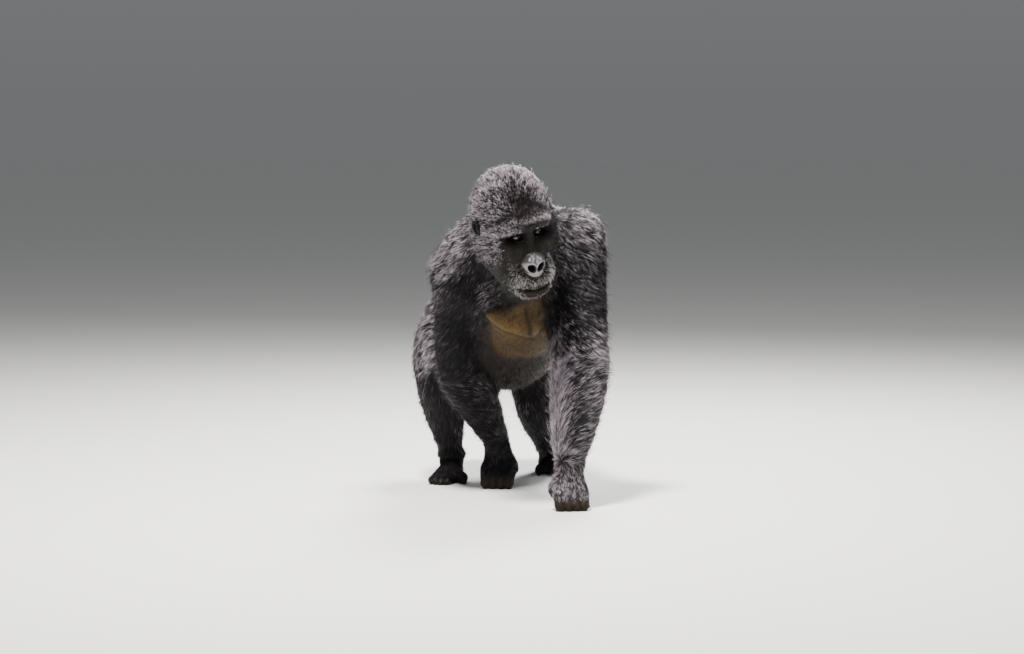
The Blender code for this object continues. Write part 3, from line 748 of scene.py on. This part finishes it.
def grizzleAndGlintMask():
    # how grizzled the coat is, with painted sun glint where it faces up and out: most on the crown, shoulders
    # and forearm, least inside the limbs
    outer = ease(-0.1, 0.6, np.abs(normals[:, 0]) + 0.5 * normals[:, 2])
    high = walk[:, 2]
    innerEdgeGlint = ease(0.40, 0.90, -normals[:, 0]) * ease(0.45, 0.10, normals[:, 1])  # a painted bright fringe down its inner front
    silver = headShare * (1 - 0.45 * ease(-0.05, -0.14, v)) * (1.05 - 0.58 * forehead) * (1 - 0.75 * farCheekShade)
    silver = silver + 0.6 * share["neck"]
    silver += 0.35 * headShare * ease(0.03, 0.09, u) * ease(0.08, 0.13, v)
    # greyer where the upper arms catch the light: painted highlight as well as grizzle
    byHeight = np.interp(high, (0.48, 0.58, 0.68, 0.80, 0.94), (1.50, 1.00, 0.52, 0.52, 0.90))
    silver += share["left_upper_arm"] * byHeight * (0.4 + 0.6 * outer)
    silver += share["left_forearm"] * (0.38 + 0.48 * outer + 0.95 * innerEdgeGlint)
    byHeight = np.interp(high, (0.50, 0.68, 0.84), (0.35, 0.40, 0.98))
    silver += share["right_upper_arm"] * byHeight * (0.5 + 0.5 * outer)
    silver += (
        share["right_forearm"] * (0.30 + 0.24 * outer)
        + 1.0 * share["left_hand"] + 0.35 * share["right_hand"] + 0.30 * isFoot
    )
    silver += (share["left_thigh"] + share["right_thigh"]) * (0.20 + 0.75 * outer)
    silver += (share["left_shank"] + share["right_shank"]) * (0.15 + 0.35 * outer)
    upper = ease(-0.5, 0.1, normals[:, 2])
    silver += (share["chest"] + share["abdomen"]) * (0.10 + 0.65 * outer * upper)
    silver = silver * (1 - 0.6 * marks["brown"]) * (1 - 0.85 * bellyBrownAndShade)
    return np.clip(silver * (1 - 0.30 * browUnder) + 1.3 * browHighlight, 0, 1.6)


marks["silver"] = grizzleAndGlintMask()

limbs = {  # its joints, and how far its hair lies along the bone, outwards, and to the back
    "left_upper_arm": ("leftShoulder", "leftElbow", 0.75, 0.75, 0.25),
    "right_upper_arm": ("rightShoulder", "rightElbow", 0.80, 0.65, 0.25),
    "left_forearm": ("leftElbow", "leftWrist", -0.50, 0.95, 0.30),
    "right_forearm": ("rightElbow", "rightWrist", -0.45, 0.90, 0.30),
    "left_thigh": ("leftHip", "leftKnee", 0.80, 0.15, 0.55),
    "right_thigh": ("rightHip", "rightKnee", 0.85, 0.20, 0.50),
    "left_shank": ("leftKnee", "leftAnkle", 0.85, 0.15, 0.45),
    "right_shank": ("rightKnee", "rightAnkle", 0.85, 0.20, 0.45),
}


def layWay(co, normals):
    # the way that the hair lies, at each point of the skin
    temple = ease(0.07, 0.00, y) * ease(0.010, 0.050, v)
    up = 0.35 * temple - 0.9 * ease(0.10, 0.21, y) - 0.95 * ease(0.02, -0.09, v)
    inFrame = np.stack([0.9 * temple * u / 0.09, 1.0 + 0 * u, up], 1)
    way = headShare[:, None] * (inFrame @ headAxes.T)
    sideways = np.sign(walk[:, 0] - 0.02) * np.abs(normals[:, 0])
    trunk = np.stack([0.30 * sideways, 0.80 + 0 * u, -0.65 + 0 * u], 1)
    way += torso[:, None] * trunk
    for node, (top, bottom, along, out, back) in limbs.items():
        bone = joints[bottom] - joints[top]
        bone = bone / np.linalg.norm(bone)
        outward = np.array([1.0 if "left" in node else -1.0, 0, 0])
        way += share[node][:, None] * (along * bone + out * outward + back * np.array([0, 1.0, 0]))
    for side in ("left", "right"):
        whorl = unit(co - joints[side + "Wrist"] - np.array([0, -0.05, 0.02]))
        way += share[side + "_hand"][:, None] * (0.7 * whorl + np.array([0.0, -0.15, -0.75]))
        way += share[side + "_foot"][:, None] * np.array([0, -0.9, -0.4])
    for _ in range(3):
        way = relaxed(unit(way - normals * dot(way, normals)), 3, 0.5)
    return unit(way - normals * dot(way, normals))


lay = layWay(co, normals)
print("lie of the coat worked out")

# an unwrap of the skin, which the tufts take their places on
skinObject = objectFrom("skin", skinMesh)
for name, values in marks.items():
    writeValues(skinMesh, name, values)
bpy.context.view_layer.objects.active = skinObject
skinObject.select_set(True)
bpy.ops.object.mode_set(mode="EDIT")
bpy.ops.mesh.select_all(action="SELECT")
bpy.ops.uv.smart_project(angle_limit=math.radians(72), island_margin=0.002)
bpy.ops.object.mode_set(mode="OBJECT")
skinMesh = skinObject.data
skinMesh.calc_loop_triangles()
corners = read(skinMesh.loop_triangles, "vertices", 3, np.int32)
loops = read(skinMesh.loop_triangles, "loops", 3, np.int32)
uv = read(skinMesh.uv_layers.active.data, "uv", 2)
skinTree = BVHTree.FromPolygons([Vector(p) for p in co], corners.tolist())
sides = co[corners[:, 1]] - co[corners[:, 0]], co[corners[:, 2]] - co[corners[:, 0]]
faceSize = np.linalg.norm(np.cross(*sides), axis=1) / 2
print("skin unwrapped")

# the coat: thin blades of hair, gathered into locks; sizes in metres, the rest as shares
fur = {
    "seed": 21, "tufts": 470000, "mostInPiece": 64000, "jitter": 0.16, "sway": 0.38, "swaySize": 0.020,
    "stray": 0.05, "patch": 0.003, "overBox": 0.025, "sunk": 0.0010, "lockSize": 0.016, "tuftsInLock": 9,
    "roll": 0.55, "bend": 0.52, "bendHeight": 0.78,
}
rng = np.random.default_rng(fur["seed"])
table = rng.uniform(-1, 1, (32, 32, 32, 3))


def sway(points, size):
    # smooth random vectors that change over the given distance
    p = points / size
    base = np.floor(p).astype(int)
    f = p - base
    f = f * f * (3 - 2 * f)
    out = np.zeros_like(points)
    for corner in np.ndindex(2, 2, 2):
        near = np.where(corner, f, 1 - f)
        x, y, z = ((base + corner) % len(table)).T
        out += (near[:, 0] * near[:, 1] * near[:, 2])[:, None] * table[x, y, z]
    return out


def sowing(rng, weight, targets):
    # picks faces of the skin by their weights, and a random place in each; the result reads values there
    picked = np.minimum(np.searchsorted(weight, targets), len(corners) - 1)
    a, b = np.sqrt(rng.random(len(targets))), rng.random(len(targets))
    bary = np.stack([1 - a, a * (1 - b), a * b], 1)

    def atRoots(values, index=corners):
        picks = values[index[picked]]
        return (picks * (bary if values.ndim == 1 else bary[:, :, None])).sum(1)

    return atRoots


def nearestOnSkin(points):
    found = [skinTree.find_nearest(p) for p in points]
    return np.array([f[0] for f in found]), np.array([f[1] for f in found])


columns = ("depth", "length", "width", "crowd", "lift", "lock")
shape = {name: shares @ np.array([coat[node][k] for node in fleshNodes]) for k, name in enumerate(columns)}
shortness = np.clip(brow * 0.75 + 0.45 * bell(y - 0.02, 0.06) * headShare, 0, 0.70)
cheek = ease(0.080, 0.100, np.abs(u)) * ease(0.050, 0.010, v) * ease(-0.130, -0.080, v)
ruff = cheek * headShare * ease(0.0, 0.4, 1 - bareFace)
sparse = ease(0.095, 0.040, co[:, 2]) * isHand
earAway = np.linalg.norm(np.stack([np.abs(u), y, v], 1) - np.array(ears["at"]), axis=1)
byEar = ease(ears["clear"] * 1.9, ears["clear"] * 0.8, earAway)
shape["length"] *= (1 - shortness) * (1 - 0.45 * breastZone) * (0.55 + 0.45 * offFace)
shape["length"] *= (1 - 0.5 * sparse) * (1 - 0.55 * byEar) * (1 + 0.3 * ruff)
shape["depth"] *= (1 - 0.55 * shortness) * (1 - 0.75 * breastZone) * (0.4 + 0.6 * offFace)
shape["depth"] *= (1 - 0.6 * sparse) * (1 - 0.5 * byEar) * (1 + 0.7 * ruff)
fewOnChin = 0.045 * ease(0.055, 0.075, np.abs(u)) * ease(-0.02, -0.06, v)
shape["crowd"] *= (1 + 0.8 * shortness) * np.clip(1 - 1.08 * bareFace, fewOnChin, 1)
shape["crowd"] *= (1 - sole) * (1 - knuckles)
shape["crowd"] *= (1 - 0.68 * breastZone) * (1 - 0.97 * bell(foldAway, breast["thinned"]) * facing)
shape["crowd"] *= 1 - 0.9 * ease(ears["clear"], ears["clear"] * 0.6, earAway)
shape["width"] *= (1 - 0.45 * breastZone) * (1 - 0.5 * bareFace) * (1 - 0.35 * brow)

weight = np.cumsum(faceSize * shape["crowd"][corners].mean(1))
total = fur["tufts"]
atRoots = sowing(rng, weight, (np.arange(total) + rng.random(total)) * weight[-1] / total)
roots, rootNormals, way = atRoots(co), unit(atRoots(normals)), atRoots(lay)
rootUv = atRoots(uv, loops)
depth, length, width, _, lift, lock = (atRoots(shape[name])[:, None] for name in columns)
markAt = {name: atRoots(marks[name]) for name in ("brown", "silver")}
strongest = atRoots(shares).argmax(1)
onHead = atRoots(headShare)[:, None]


def chances():
    return rng.random((total, 1))


way = unit(way) + fur["sway"] * (1 - 0.65 * onHead) * sway(roots, fur["swaySize"])
way = way + fur["jitter"] * (1 + 0.5 * onHead) * rng.normal(size=(total, 3))
way = unit(way - rootNormals * dot(way, rootNormals))
slow = sway(roots, 0.035)[:, :1]
length = length * (0.62 + 0.55 * chances()) * (1 + 0.22 * slow)
stray = (chances() < fur["stray"]).astype(float)
rise = depth * lift * (0.30 + 0.75 * chances()) * (1 + 0.35 * sway(roots, 0.016)[:, 1:2])
rise = rise * (1 + 0.8 * stray)
middle, middleNormal = nearestOnSkin(roots + way * length * fur["bend"])
tip, tipNormal = nearestOnSkin(roots + way * length)
middle = middle + middleNormal * rise * fur["bendHeight"]
tip = tip + tipNormal * rise
leaders = rng.choice(total, total // fur["tuftsInLock"], replace=False)  # each has a lock round it
lockTree = KDTree(len(leaders))
for i, leader in enumerate(leaders):
    lockTree.insert(roots[leader], i)
lockTree.balance()
leader = leaders[np.array([lockTree.find(p)[1] for p in roots])]
apart = roots - roots[leader]
near = np.linalg.norm(apart, axis=1, keepdims=True) < fur["lockSize"]
together = lock * (0.6 + 0.6 * chances()) * near * (1 - 0.6 * stray)
tip = tip + together * (tip[leader] + 0.25 * apart - tip)
middle = middle + 0.45 * together * (middle[leader] + 0.55 * apart - middle)
across = unit(np.cross(way, rootNormals))
roll = rng.normal(0, fur["roll"], (total, 1))
across = across * np.cos(roll) + rootNormals * np.sin(roll)
half = across * (width * (0.7 + 0.6 * chances()) / 2)
base = roots - rootNormals * fur["sunk"]
blades = np.stack([base - half, base + half, middle - half * 0.8, middle + half * 0.8, tip], 1)
reach = np.array([cadBox[0], cadBox[1]]) + np.array([[-1.0], [1.0]]) * fur["overBox"]
blades = np.clip(blades, reach[0], reach[1])
blade = {  # its points: how far each is along the hair, and its place in the tuft's patch of the map
    "along": (0, 0, 0.55, 0.55, 1.0), "order": (0, 1, 3, 2, 2, 3, 4),  # a square and a triangle
    "map": ((-0.5, -0.5), (0.5, -0.5), (-0.35, 0.05), (0.35, 0.05), (0, 0.5)),
}
chance = 0.5 * rng.random(total) + 0.5 * rng.random(total)[leader]  # tufts of one lock are close in tone
print("tufts placed:", total)


def coatPiece(name, which):
    n, points = len(which), len(blade["along"])
    mesh = bpy.data.meshes.new(name)
    mesh.vertices.add(n * points)
    mesh.vertices.foreach_set("co", blades[which].astype(np.float32).ravel())
    order = np.array(blade["order"])
    index = (np.arange(n)[:, None] * points + order).astype(np.int32)
    mesh.loops.add(index.size)
    mesh.loops.foreach_set("vertex_index", index.ravel())
    mesh.polygons.add(n * 2)
    starts = (np.arange(n)[:, None] * len(order) + np.array([0, 4])).astype(np.int32)
    mesh.polygons.foreach_set("loop_start", starts.ravel())
    mesh.update(calc_edges=True)
    mesh.shade_smooth()
    layer = mesh.uv_layers.new(name="OFBake")
    spots = rootUv[which][:, None, :] + (np.array(blade["map"]) * fur["patch"])[order][None]
    layer.data.foreach_set("uv", spots.astype(np.float32).ravel())
    writeValues(mesh, "along", np.tile(blade["along"], n))
    for key, values in (("chance", chance), *markAt.items()):
        writeValues(mesh, key, np.repeat(values[which], points))
    made = objectFrom(name, mesh)
    mesh.materials.append(coatFinish)
    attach(made, "root")


# finishes
finish = {
    # the grey-lilac tips stand both for grizzled hairs and for painted sun glint
    "root": (0.0035, 0.0031, 0.0034), "charcoal": (0.0100, 0.0088, 0.0104), "silver": (0.500, 0.425, 0.482),
    "brown": (0.034, 0.021, 0.013), "under": (0.0060, 0.0055, 0.0060), "underBrown": (0.017, 0.011, 0.007),
    "face": (0.0034, 0.0032, 0.0029), "faceWarm": (0.0092, 0.0070, 0.0042),
    # socket: painted shade in eye sockets, nostrils and ear hollows; pad: grey lighter than the black skin,
    # partly painted sheen of the wet nose
    "socket": (0.0026, 0.0023, 0.0022), "pad": (0.056, 0.050, 0.053), "lip": (0.0115, 0.0080, 0.0045),
    # the breast's brown is its own; the darker brown after it is both its own mottling and painted shade
    # under the fold
    "breast": (0.100, 0.060, 0.021), "breastDarkAndShade": (0.026, 0.016, 0.0070),
    "pale": (0.84, 0.78, 0.79), "paleDark": (0.14, 0.125, 0.12),
    "horn": (0.005, 0.0045, 0.004), "hornPale": (0.014, 0.012, 0.010), "behindIris": (0.002, 0.001, 0.001),
}


def hairFinish():
    net = Net("coat hair", Roughness=0.42, **{"Specular IOR Level": 0.16})
    silver, brown = net.mask("silver"), net.mask("brown")
    bright = ((net.mask("chance") + 0.38 * silver - 0.87) * 6.0).held()  # more grizzle and painted glint, more grey hairs
    grey = bright * (0.12 + 0.88 * silver) * (1.3 * net.noise(24.0, 3.0) + 0.32)
    tips = net.blend(grey, finish["charcoal"], finish["silver"])
    tips = net.blend(brown * 0.85, tips, finish["brown"])
    # darker towards the root: partly the hair's own tone, partly painted shade deep in the coat
    return net.feed(Base_Color=net.blend(net.mask("along") ** 1.3, finish["root"], tips))


def skinFinish():
    net = Net("skin", **{"Specular IOR Level": 0.09, "Coat Roughness": 0.20, "Coat IOR": 1.9})
    bare, pad, brown = net.mask("bare"), net.mask("pad"), net.mask("brown")
    face = net.blend(net.noise(28.0, 4.0), finish["face"], finish["faceWarm"])
    # painted shade in the sockets, nostrils and ear hollows, then the pad's grey, partly painted sheen
    face = net.blend(net.mask("socket"), face, finish["socket"])
    face = net.blend(pad, face, finish["pad"])
    face = net.blend(net.mask("lip") * 0.9, face, finish["lip"])
    chest = net.blend(2.2 * net.noise(7.0, 4.0) - 0.45, finish["breastDarkAndShade"], finish["breast"])
    # painted shade under the fold and along the crease
    chest = net.blend(net.mask("fold"), chest, finish["breastDarkAndShade"])
    under = net.blend(brown * 0.6, finish["under"], finish["underBrown"])
    colour = net.blend(bare, under, net.blend(brown, face, chest))
    roughness = 0.80 - 0.46 * bare + 0.22 * net.noise(60.0, 3.0) * bare - 0.10 * pad
    cellSockets = {"Vector": net.place(), "Scale": 230.0}
    cells = net.add("ShaderNodeTexVoronoi", {"feature": "DISTANCE_TO_EDGE"}, cellSockets, out="Distance")
    grain = cells * 1.2 + net.noise(420.0, 3.0) * 0.5 + net.noise(70.0, 3.0) * 1.2
    bumps = {"Height": grain, "Strength": 0.75, "Distance": 0.0026}
    relief = net.add("ShaderNodeBump", {}, bumps, out="Normal")
    return net.feed(Base_Color=colour, Roughness=roughness, Coat_Weight=pad, Normal=relief)


coatFinish = hairFinish()
skinMesh.materials.append(skinFinish())
skinMesh.shade_smooth()

# ears join the skin once the coat has been sown
bm = bmesh.new()
bm.from_mesh(skinMesh)
before = len(skinMesh.vertices)
for side in ("left", "right"):
    bm.from_mesh(earMesh(side))
markLayer = {name: bm.verts.layers.float[name] for name in ("bare", "socket", "brown")}
bm.verts.ensure_lookup_table()
earPoints = np.abs(inHead(np.array([vert.co for vert in bm.verts[before:]]))[:, 0])
# the ear's hollow takes the socket mark as painted shade, its rim a little brown as a painted highlight
for vert, hollow in zip(bm.verts[before:], ease(0.0005, 0.0045, earPoints.max() - earPoints)):
    vert[markLayer["bare"]] = 1.0
    vert[markLayer["socket"]] = 0.95 * hollow
    vert[markLayer["brown"]] = 0.15 * (1 - hollow)
for polygon in bm.faces:
    polygon.smooth = True
    polygon.material_index = 0
bm.to_mesh(skinMesh)
bm.free()
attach(skinObject, "root")
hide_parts(*fleshNodes, "left_ear", "right_ear")

pieces = {
    "coatHead": ("head",), "coatNeckChest": ("neck", "chest"), "coatAbdomen": ("abdomen",),
    "coatLeftUpperArm": ("left_upper_arm",), "coatLeftForearm": ("left_forearm", "left_hand"),
    "coatRightUpperArm": ("right_upper_arm",), "coatRightForearm": ("right_forearm", "right_hand"),
    "coatLeftLeg": ("left_thigh", "left_shank", "left_foot"),
    "coatRightLeg": ("right_thigh", "right_shank", "right_foot"),
}
for name, nodes in pieces.items():
    mine = np.flatnonzero(np.isin(strongest, [fleshNodes.index(node) for node in nodes]))
    parts = max(1, math.ceil(len(mine) / fur["mostInPiece"]))
    for k in range(parts):
        coatPiece(name + (str(k + 1) if parts > 1 else ""), mine[k::parts])
print("coat made")

# stiff pale hairs on the muzzle, and the lashes
stiff = {
    "seed": 5, "count": 1300, "width": 0.00055, "length": 0.0105, "bend": 0.6,
    "lashes": 20, "lashLength": 0.0085, "lashWidth": 0.00050, "lashBend": 0.5,
}


def stiffHairTree():
    # a curved thin cone at each point, turned to the point's own way
    tree = bpy.data.node_groups.new("stiffHairs", "GeometryNodeTree")

    def entry(name, kind, way="INPUT"):
        return tree.interface.new_socket(name, in_out=way, socket_type="NodeSocket" + kind).identifier

    def node(kind, settings=None, sockets=None, out=0):
        return addNode(tree, kind, settings, sockets).outputs[out]

    def named(name, kind):
        return node("GeometryNodeInputNamedAttribute", {"data_type": kind}, {"Name": name}, "Attribute")

    entry("Geometry", "Geometry")
    inputs = {"Width": entry("Width", "Float"), "Bend": entry("Bend", "Float")}
    inputs["Finish"] = entry("Finish", "Material")
    entry("Geometry", "Geometry", "OUTPUT")
    given = tree.nodes.new("NodeGroupInput").outputs
    coneSizes = {"Vertices": 3, "Side Segments": 3, "Radius Top": 0.02, "Radius Bottom": 0.5, "Depth": 1.0}
    cone = node("GeometryNodeMeshCone", {"fill_type": "NONE"}, coneSizes)
    height = node("ShaderNodeSeparateXYZ", {}, {"Vector": node("GeometryNodeInputPosition")}, "Z")
    curve = node("ShaderNodeMath", {"operation": "POWER"}, {0: height, 1: 2.0})
    sideways = node("ShaderNodeCombineXYZ", {}, {"X": curve})
    offset = node("ShaderNodeVectorMath", {"operation": "SCALE"}, {0: sideways, "Scale": given["Bend"]})
    bent = node("GeometryNodeSetPosition", {}, {"Geometry": cone, "Offset": offset})
    way = named("way", "FLOAT_VECTOR")
    turned = node("FunctionNodeAlignRotationToVector", {"axis": "Z"}, {"Vector": way})
    sizes = {"X": given["Width"], "Y": given["Width"], "Z": named("length", "FLOAT")}
    scale = node("ShaderNodeCombineXYZ", {}, sizes)
    copies = {"Points": given["Geometry"], "Instance": bent, "Rotation": turned, "Scale": scale}
    placed = node("GeometryNodeInstanceOnPoints", {}, copies)
    real = node("GeometryNodeRealizeInstances", {}, {"Geometry": placed})
    dressed = node("GeometryNodeSetMaterial", {}, {"Geometry": real, "Material": given["Finish"]})
    tree.links.new(dressed, tree.nodes.new("NodeGroupOutput").inputs[0])
    return tree, inputs


hairTree, hairInputs = stiffHairTree()
paleNet = Net("pale hair", Roughness=0.40, **{"Specular IOR Level": 0.45})
paleTone = paleNet.blend(paleNet.mask("chance"), finish["paleDark"], finish["pale"])
paleFinish = paleNet.feed(Base_Color=paleTone)


def growStiffHairs(name, points, ways, lengths, uvs, chances, width, bend):
    mesh = bpy.data.meshes.new(name)
    mesh.from_pydata(points.tolist(), [], [])
    writeValues(mesh, "way", ways, "FLOAT_VECTOR", "vector")
    writeValues(mesh, "length", lengths)
    writeValues(mesh, "chance", chances)
    writeValues(mesh, "rootUv", uvs, "FLOAT2", "vector")
    made = objectFrom(name, mesh)
    modifier = made.modifiers.new("hairs", "NODES")
    modifier.node_group = hairTree
    for key, value in (("Width", width), ("Bend", bend), ("Finish", paleFinish)):
        modifier[hairInputs[key]] = value
    made = settled(made)
    made.name = name
    mesh = made.data
    ends = read(mesh.loops, "vertex_index", 1, np.int32)[:, 0]
    rootAt = read(mesh.attributes["rootUv"].data, "vector", 2)[ends]
    perHair = len(mesh.vertices) // len(points)
    spot = (ends % perHair) / perHair - 0.5
    layer = mesh.uv_layers.new(name="OFBake")
    spots = rootAt + np.stack([spot, np.roll(spot, 1)], 1) * fur["patch"]
    layer.data.foreach_set("uv", spots.astype(np.float32).ravel())
    mesh.shade_smooth()
    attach(made, "root")


def growMuzzleHairs():
    # in a ring round the nose pad, down the muzzle's sides and at the mouth's corners
    a = np.abs(u)
    ring = bell(padFade - 1.62, 0.42) * ease(-0.075, -0.105, v) * ease(0.086, 0.070, a)
    cornersOfMouth = bell(a - 0.064, 0.016) * bell(v + 0.195, 0.026)
    flanks = bell(a - 0.062, 0.015) * bell(v + 0.150, 0.032)
    bristling = 0.6 * ring + 1.2 * flanks + 0.5 * cornersOfMouth + 0.14 * bell(v + 0.222, 0.012)
    bristling = bristling * bareFace * ease(0.06, 0.03, y) * (1 - marks["pad"])
    bristling = bristling * (bell(v - lipLine, 0.006) < 0.3)
    weight = np.cumsum(faceSize * bristling[corners].mean(1))
    atRoots = sowing(rng, weight, rng.random(stiff["count"]) * weight[-1])
    points, out = atRoots(co), unit(atRoots(normals))
    fromPad = inHead(points) - np.array([0, -0.03, nosePad["height"] + 0.045])
    radial = unit(fromPad) @ headAxes.T
    ways = 0.55 * out + 0.75 * (radial - out * dot(radial, out)) + 0.22 * rng.normal(size=points.shape)
    lengths = stiff["length"] * (0.6 + 0.7 * rng.random(len(points)))
    tones = rng.random(len(points))
    uvs = atRoots(uv, loops)
    growStiffHairs("muzzleHairs", points, unit(ways), lengths, uvs, tones, stiff["width"], stiff["bend"])


def growLashes():
    # along the edge of each upper lid; pale grey, as painted glints of the lashes in sunlight
    spots, ways, lengths = [], [], []
    for sign in (1, -1):
        for t in np.linspace(-0.88, 0.88, stiff["lashes"]):
            du = t * eyeShape["halfWidth"]
            height = eyeShape["upper"] * math.sqrt(1 - t * t) * 1.06 + eyeShape["slant"] * du + 0.0006
            at = np.array([eyeShape["apart"] + du])
            depthAt = faceHeight(at, np.array([height]))[0]
            spots.append([sign * at[0], -depthAt + 0.0004, height])
            ways.append([sign * (0.10 + 0.35 * t + 0.06 * rng.normal()), -0.85, -0.55 + 0.10 * rng.normal()])
            lengths.append(stiff["lashLength"] * (0.75 + 0.45 * rng.random()))
    ways = unit(np.array(ways)) @ headAxes.T
    uvs, tones = np.full((len(spots), 2), 0.5), rng.random(len(spots)) ** 3
    width, bend = stiff["lashWidth"], stiff["lashBend"]
    growStiffHairs("lashes", fromHead(np.array(spots)), ways, np.array(lengths), uvs, tones, width, bend)


rng = np.random.default_rng(stiff["seed"])
growMuzzleHairs()
growLashes()
print("muzzle hairs and lashes grown")

# toenails, each laid on the top of its toe
nails = {
    "size": (0.0066, 0.0082, 0.0022), "sunk": 0.0006, "back": 0.006, "beyond": 0.02, "step": 0.0015,
    "from": 0.2, "above": 0.008,
    "toes": (  # across and ahead of each toe's tip, and its scale
        (0.0291, 0.203, 1.0), (0.0045, 0.205, 1.0), (-0.0202, 0.200, 0.92), (-0.0426, 0.189, 0.85),
        (0.0845, 0.166, 1.30),
    ),
}


def toeTop(node, across, ahead):
    # the point and normal on top of a toe, a little back from its tip
    joint, heading, side, _ = extremities[node]
    turn = Matrix.Rotation(math.radians(heading), 4, "Z")
    reached = 0
    for step in range(40):  # back from beyond the tip, until there is toe underneath
        away = Vector((across * side, -ahead - nails["beyond"] + nails["step"] * step, 0))
        above = Vector(joints[joint]) + turn @ away
        above.z = nails["from"]
        hit, normal, _, _ = skinTree.ray_cast(above, Vector((0, 0, -1)), nails["from"])
        reached += hit is not None and hit.z > nails["above"]
        if reached * nails["step"] > nails["back"]:
            return hit, normal.normalized(), turn @ Vector((0, -1, 0))


def growToenails():
    bm = bmesh.new()
    for node in ("left_foot", "right_foot"):
        for across, ahead, scale in nails["toes"]:
            hit, out, way = toeTop(node, across, ahead)
            forward = (way - out * way.dot(out)).normalized()
            facing = Matrix((forward.cross(out), forward, out)).transposed().to_4x4()
            form = Matrix.Diagonal((*[n * scale for n in nails["size"]], 1))
            place = Matrix.Translation(hit - out * nails["sunk"]) @ facing @ form
            bmesh.ops.create_uvsphere(bm, u_segments=20, v_segments=12, radius=1, matrix=place)
    for polygon in bm.faces:
        polygon.smooth = True
    mesh = meshFrom(bm, "toenails")
    made = objectFrom("toenails", mesh)
    net = Net("dark horn", Roughness=0.60, **{"Specular IOR Level": 0.12})
    tone = net.blend(net.noise(160.0, 2.0), finish["horn"], finish["hornPale"])
    mesh.materials.append(net.feed(Base_Color=tone))
    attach(made, "root")


growToenails()

# eyes: dark brown, with a swelling clear front
eye = {"iris": 0.0062, "bulge": 0.0011, "turn": 0.05}
irisRings = (  # how far out each colour lies, 1 at the iris's edge
    (0.0, (0.001, 0.001, 0.001)), (0.36, (0.001, 0.001, 0.001)), (0.42, (0.030, 0.012, 0.004)),
    (0.80, (0.042, 0.017, 0.006)), (0.98, (0.006, 0.003, 0.002)), (1.0, (0.010, 0.007, 0.006)),
)


def eyeFinish(name):
    constants = {"Specular IOR Level": 0.5, "Coat Weight": 0.6, "Coat Roughness": 0.02}
    net = Net(name, Roughness=0.06, **constants)
    shade = net.add("ShaderNodeValToRGB", {"stops": irisRings}, {"Fac": net.mask("iris") * (1 / eye["iris"])})
    fibre = net.noise(900.0, 2.0) * 0.5 + 0.6
    return net.feed(Base_Color=net.blend(fibre, finish["behindIris"], shade))


def makeEye(side, sign):
    bm = bmesh.new()
    bmesh.ops.create_icosphere(bm, subdivisions=5, radius=eyeShape["ball"])
    gaze = Vector(unit(headAxes @ np.array([-sign * eye["turn"], -1.0, 0.02])))
    iris = bm.verts.layers.float.new("iris")
    for vert in bm.verts:
        around = (vert.co.normalized() - gaze).length * eyeShape["ball"]
        vert[iris] = around
        vert.co += gaze * eye["bulge"] * math.exp(-((around / eye["iris"]) ** 2))
        vert.co += eyeCentre[side]
    for polygon in bm.faces:
        polygon.smooth = True
    mesh = meshFrom(bm, side + "Eye")
    made = objectFrom(side + "Eye", mesh)
    mesh.materials.append(eyeFinish(side + "Eye"))
    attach(made, "root")
    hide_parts(side + "_eye")


makeEye("left", 1)
makeEye("right", -1)
print("toenails and eyes made")

# camera, floor and lights
camera = {"fromEyes": (-0.0476, -9.9619, 0.4397), "tilt": 4.36, "lens": 101.95}
lens = bpy.data.objects.new("camera", bpy.data.cameras.new("camera"))
bpy.context.scene.collection.objects.link(lens)
lens.location = eyeMiddle + Vector(camera["fromEyes"])
lens.rotation_euler = (math.radians(90 - camera["tilt"]), 0, 0)
lens.data.lens, lens.data.clip_end = camera["lens"], 200
bpy.context.scene.camera = lens


def areaLight(name, at, aim, size, power, colour):
    lamp = bpy.data.lights.new(name, "AREA")
    lamp.shape, lamp.size, lamp.energy, lamp.color = "DISK", size, power, colour
    made = bpy.data.objects.new(name, lamp)
    made.location = at
    made.rotation_euler = (Vector(aim) - Vector(at)).to_track_quat("-Z", "Y").to_euler()
    bpy.context.scene.collection.objects.link(made)


studio = {  # where each light is, what it is turned to, its size in metres, its watts and its colour
    "sun": ((-0.7, -1.7, 4.9), (0, -0.3, 0.7), 0.9, 930, (1.0, 0.97, 0.92)),
    "rim": ((0.9, 2.6, 4.2), (0, 0, 0.8), 1.6, 620, (1.0, 0.98, 0.96)),
    "glint": ((-1.5, -4.2, 3.4), (0, -0.6, 0.95), 0.6, 80, (1.0, 0.99, 0.97)),
    "fill": ((3.8, -4.4, 3.0), (0, 0, 0.6), 3.0, 120, (0.93, 0.96, 1.0)),
}
room = {"strength": 0.29, "stops": ((0.0, (0.56, 0.57, 0.58)), (0.25, (0.86, 0.88, 0.90)))}  # by height
for name, facts in studio.items():
    areaLight(name, *facts)
world = bpy.context.scene.world or bpy.data.worlds.new("world")
bpy.context.scene.world = world
world.use_nodes = True
sky = world.node_tree
around = addNode(sky, "ShaderNodeTexCoord")
split = addNode(sky, "ShaderNodeSeparateXYZ", {}, {0: around.outputs["Generated"]})
ramp = addNode(sky, "ShaderNodeValToRGB", {"stops": room["stops"]}, {"Fac": split.outputs["Z"]})
background = sky.nodes["Background"].inputs
sky.links.new(ramp.outputs["Color"], background["Color"])
background["Strength"].default_value = room["strength"]
bm = bmesh.new()
bmesh.ops.create_circle(bm, cap_ends=True, segments=64, radius=60)
floorMesh = meshFrom(bm, "floor")
floor = objectFrom("floor", floorMesh)
floorNet = Net("paleFloor", Roughness=0.9, **{"Base Color": (0.62, 0.62, 0.61, 1)})
floorMesh.materials.append(floorNet.material)

print("triangles in the skin:", sum(len(p.vertices) - 2 for p in skinMesh.polygons))
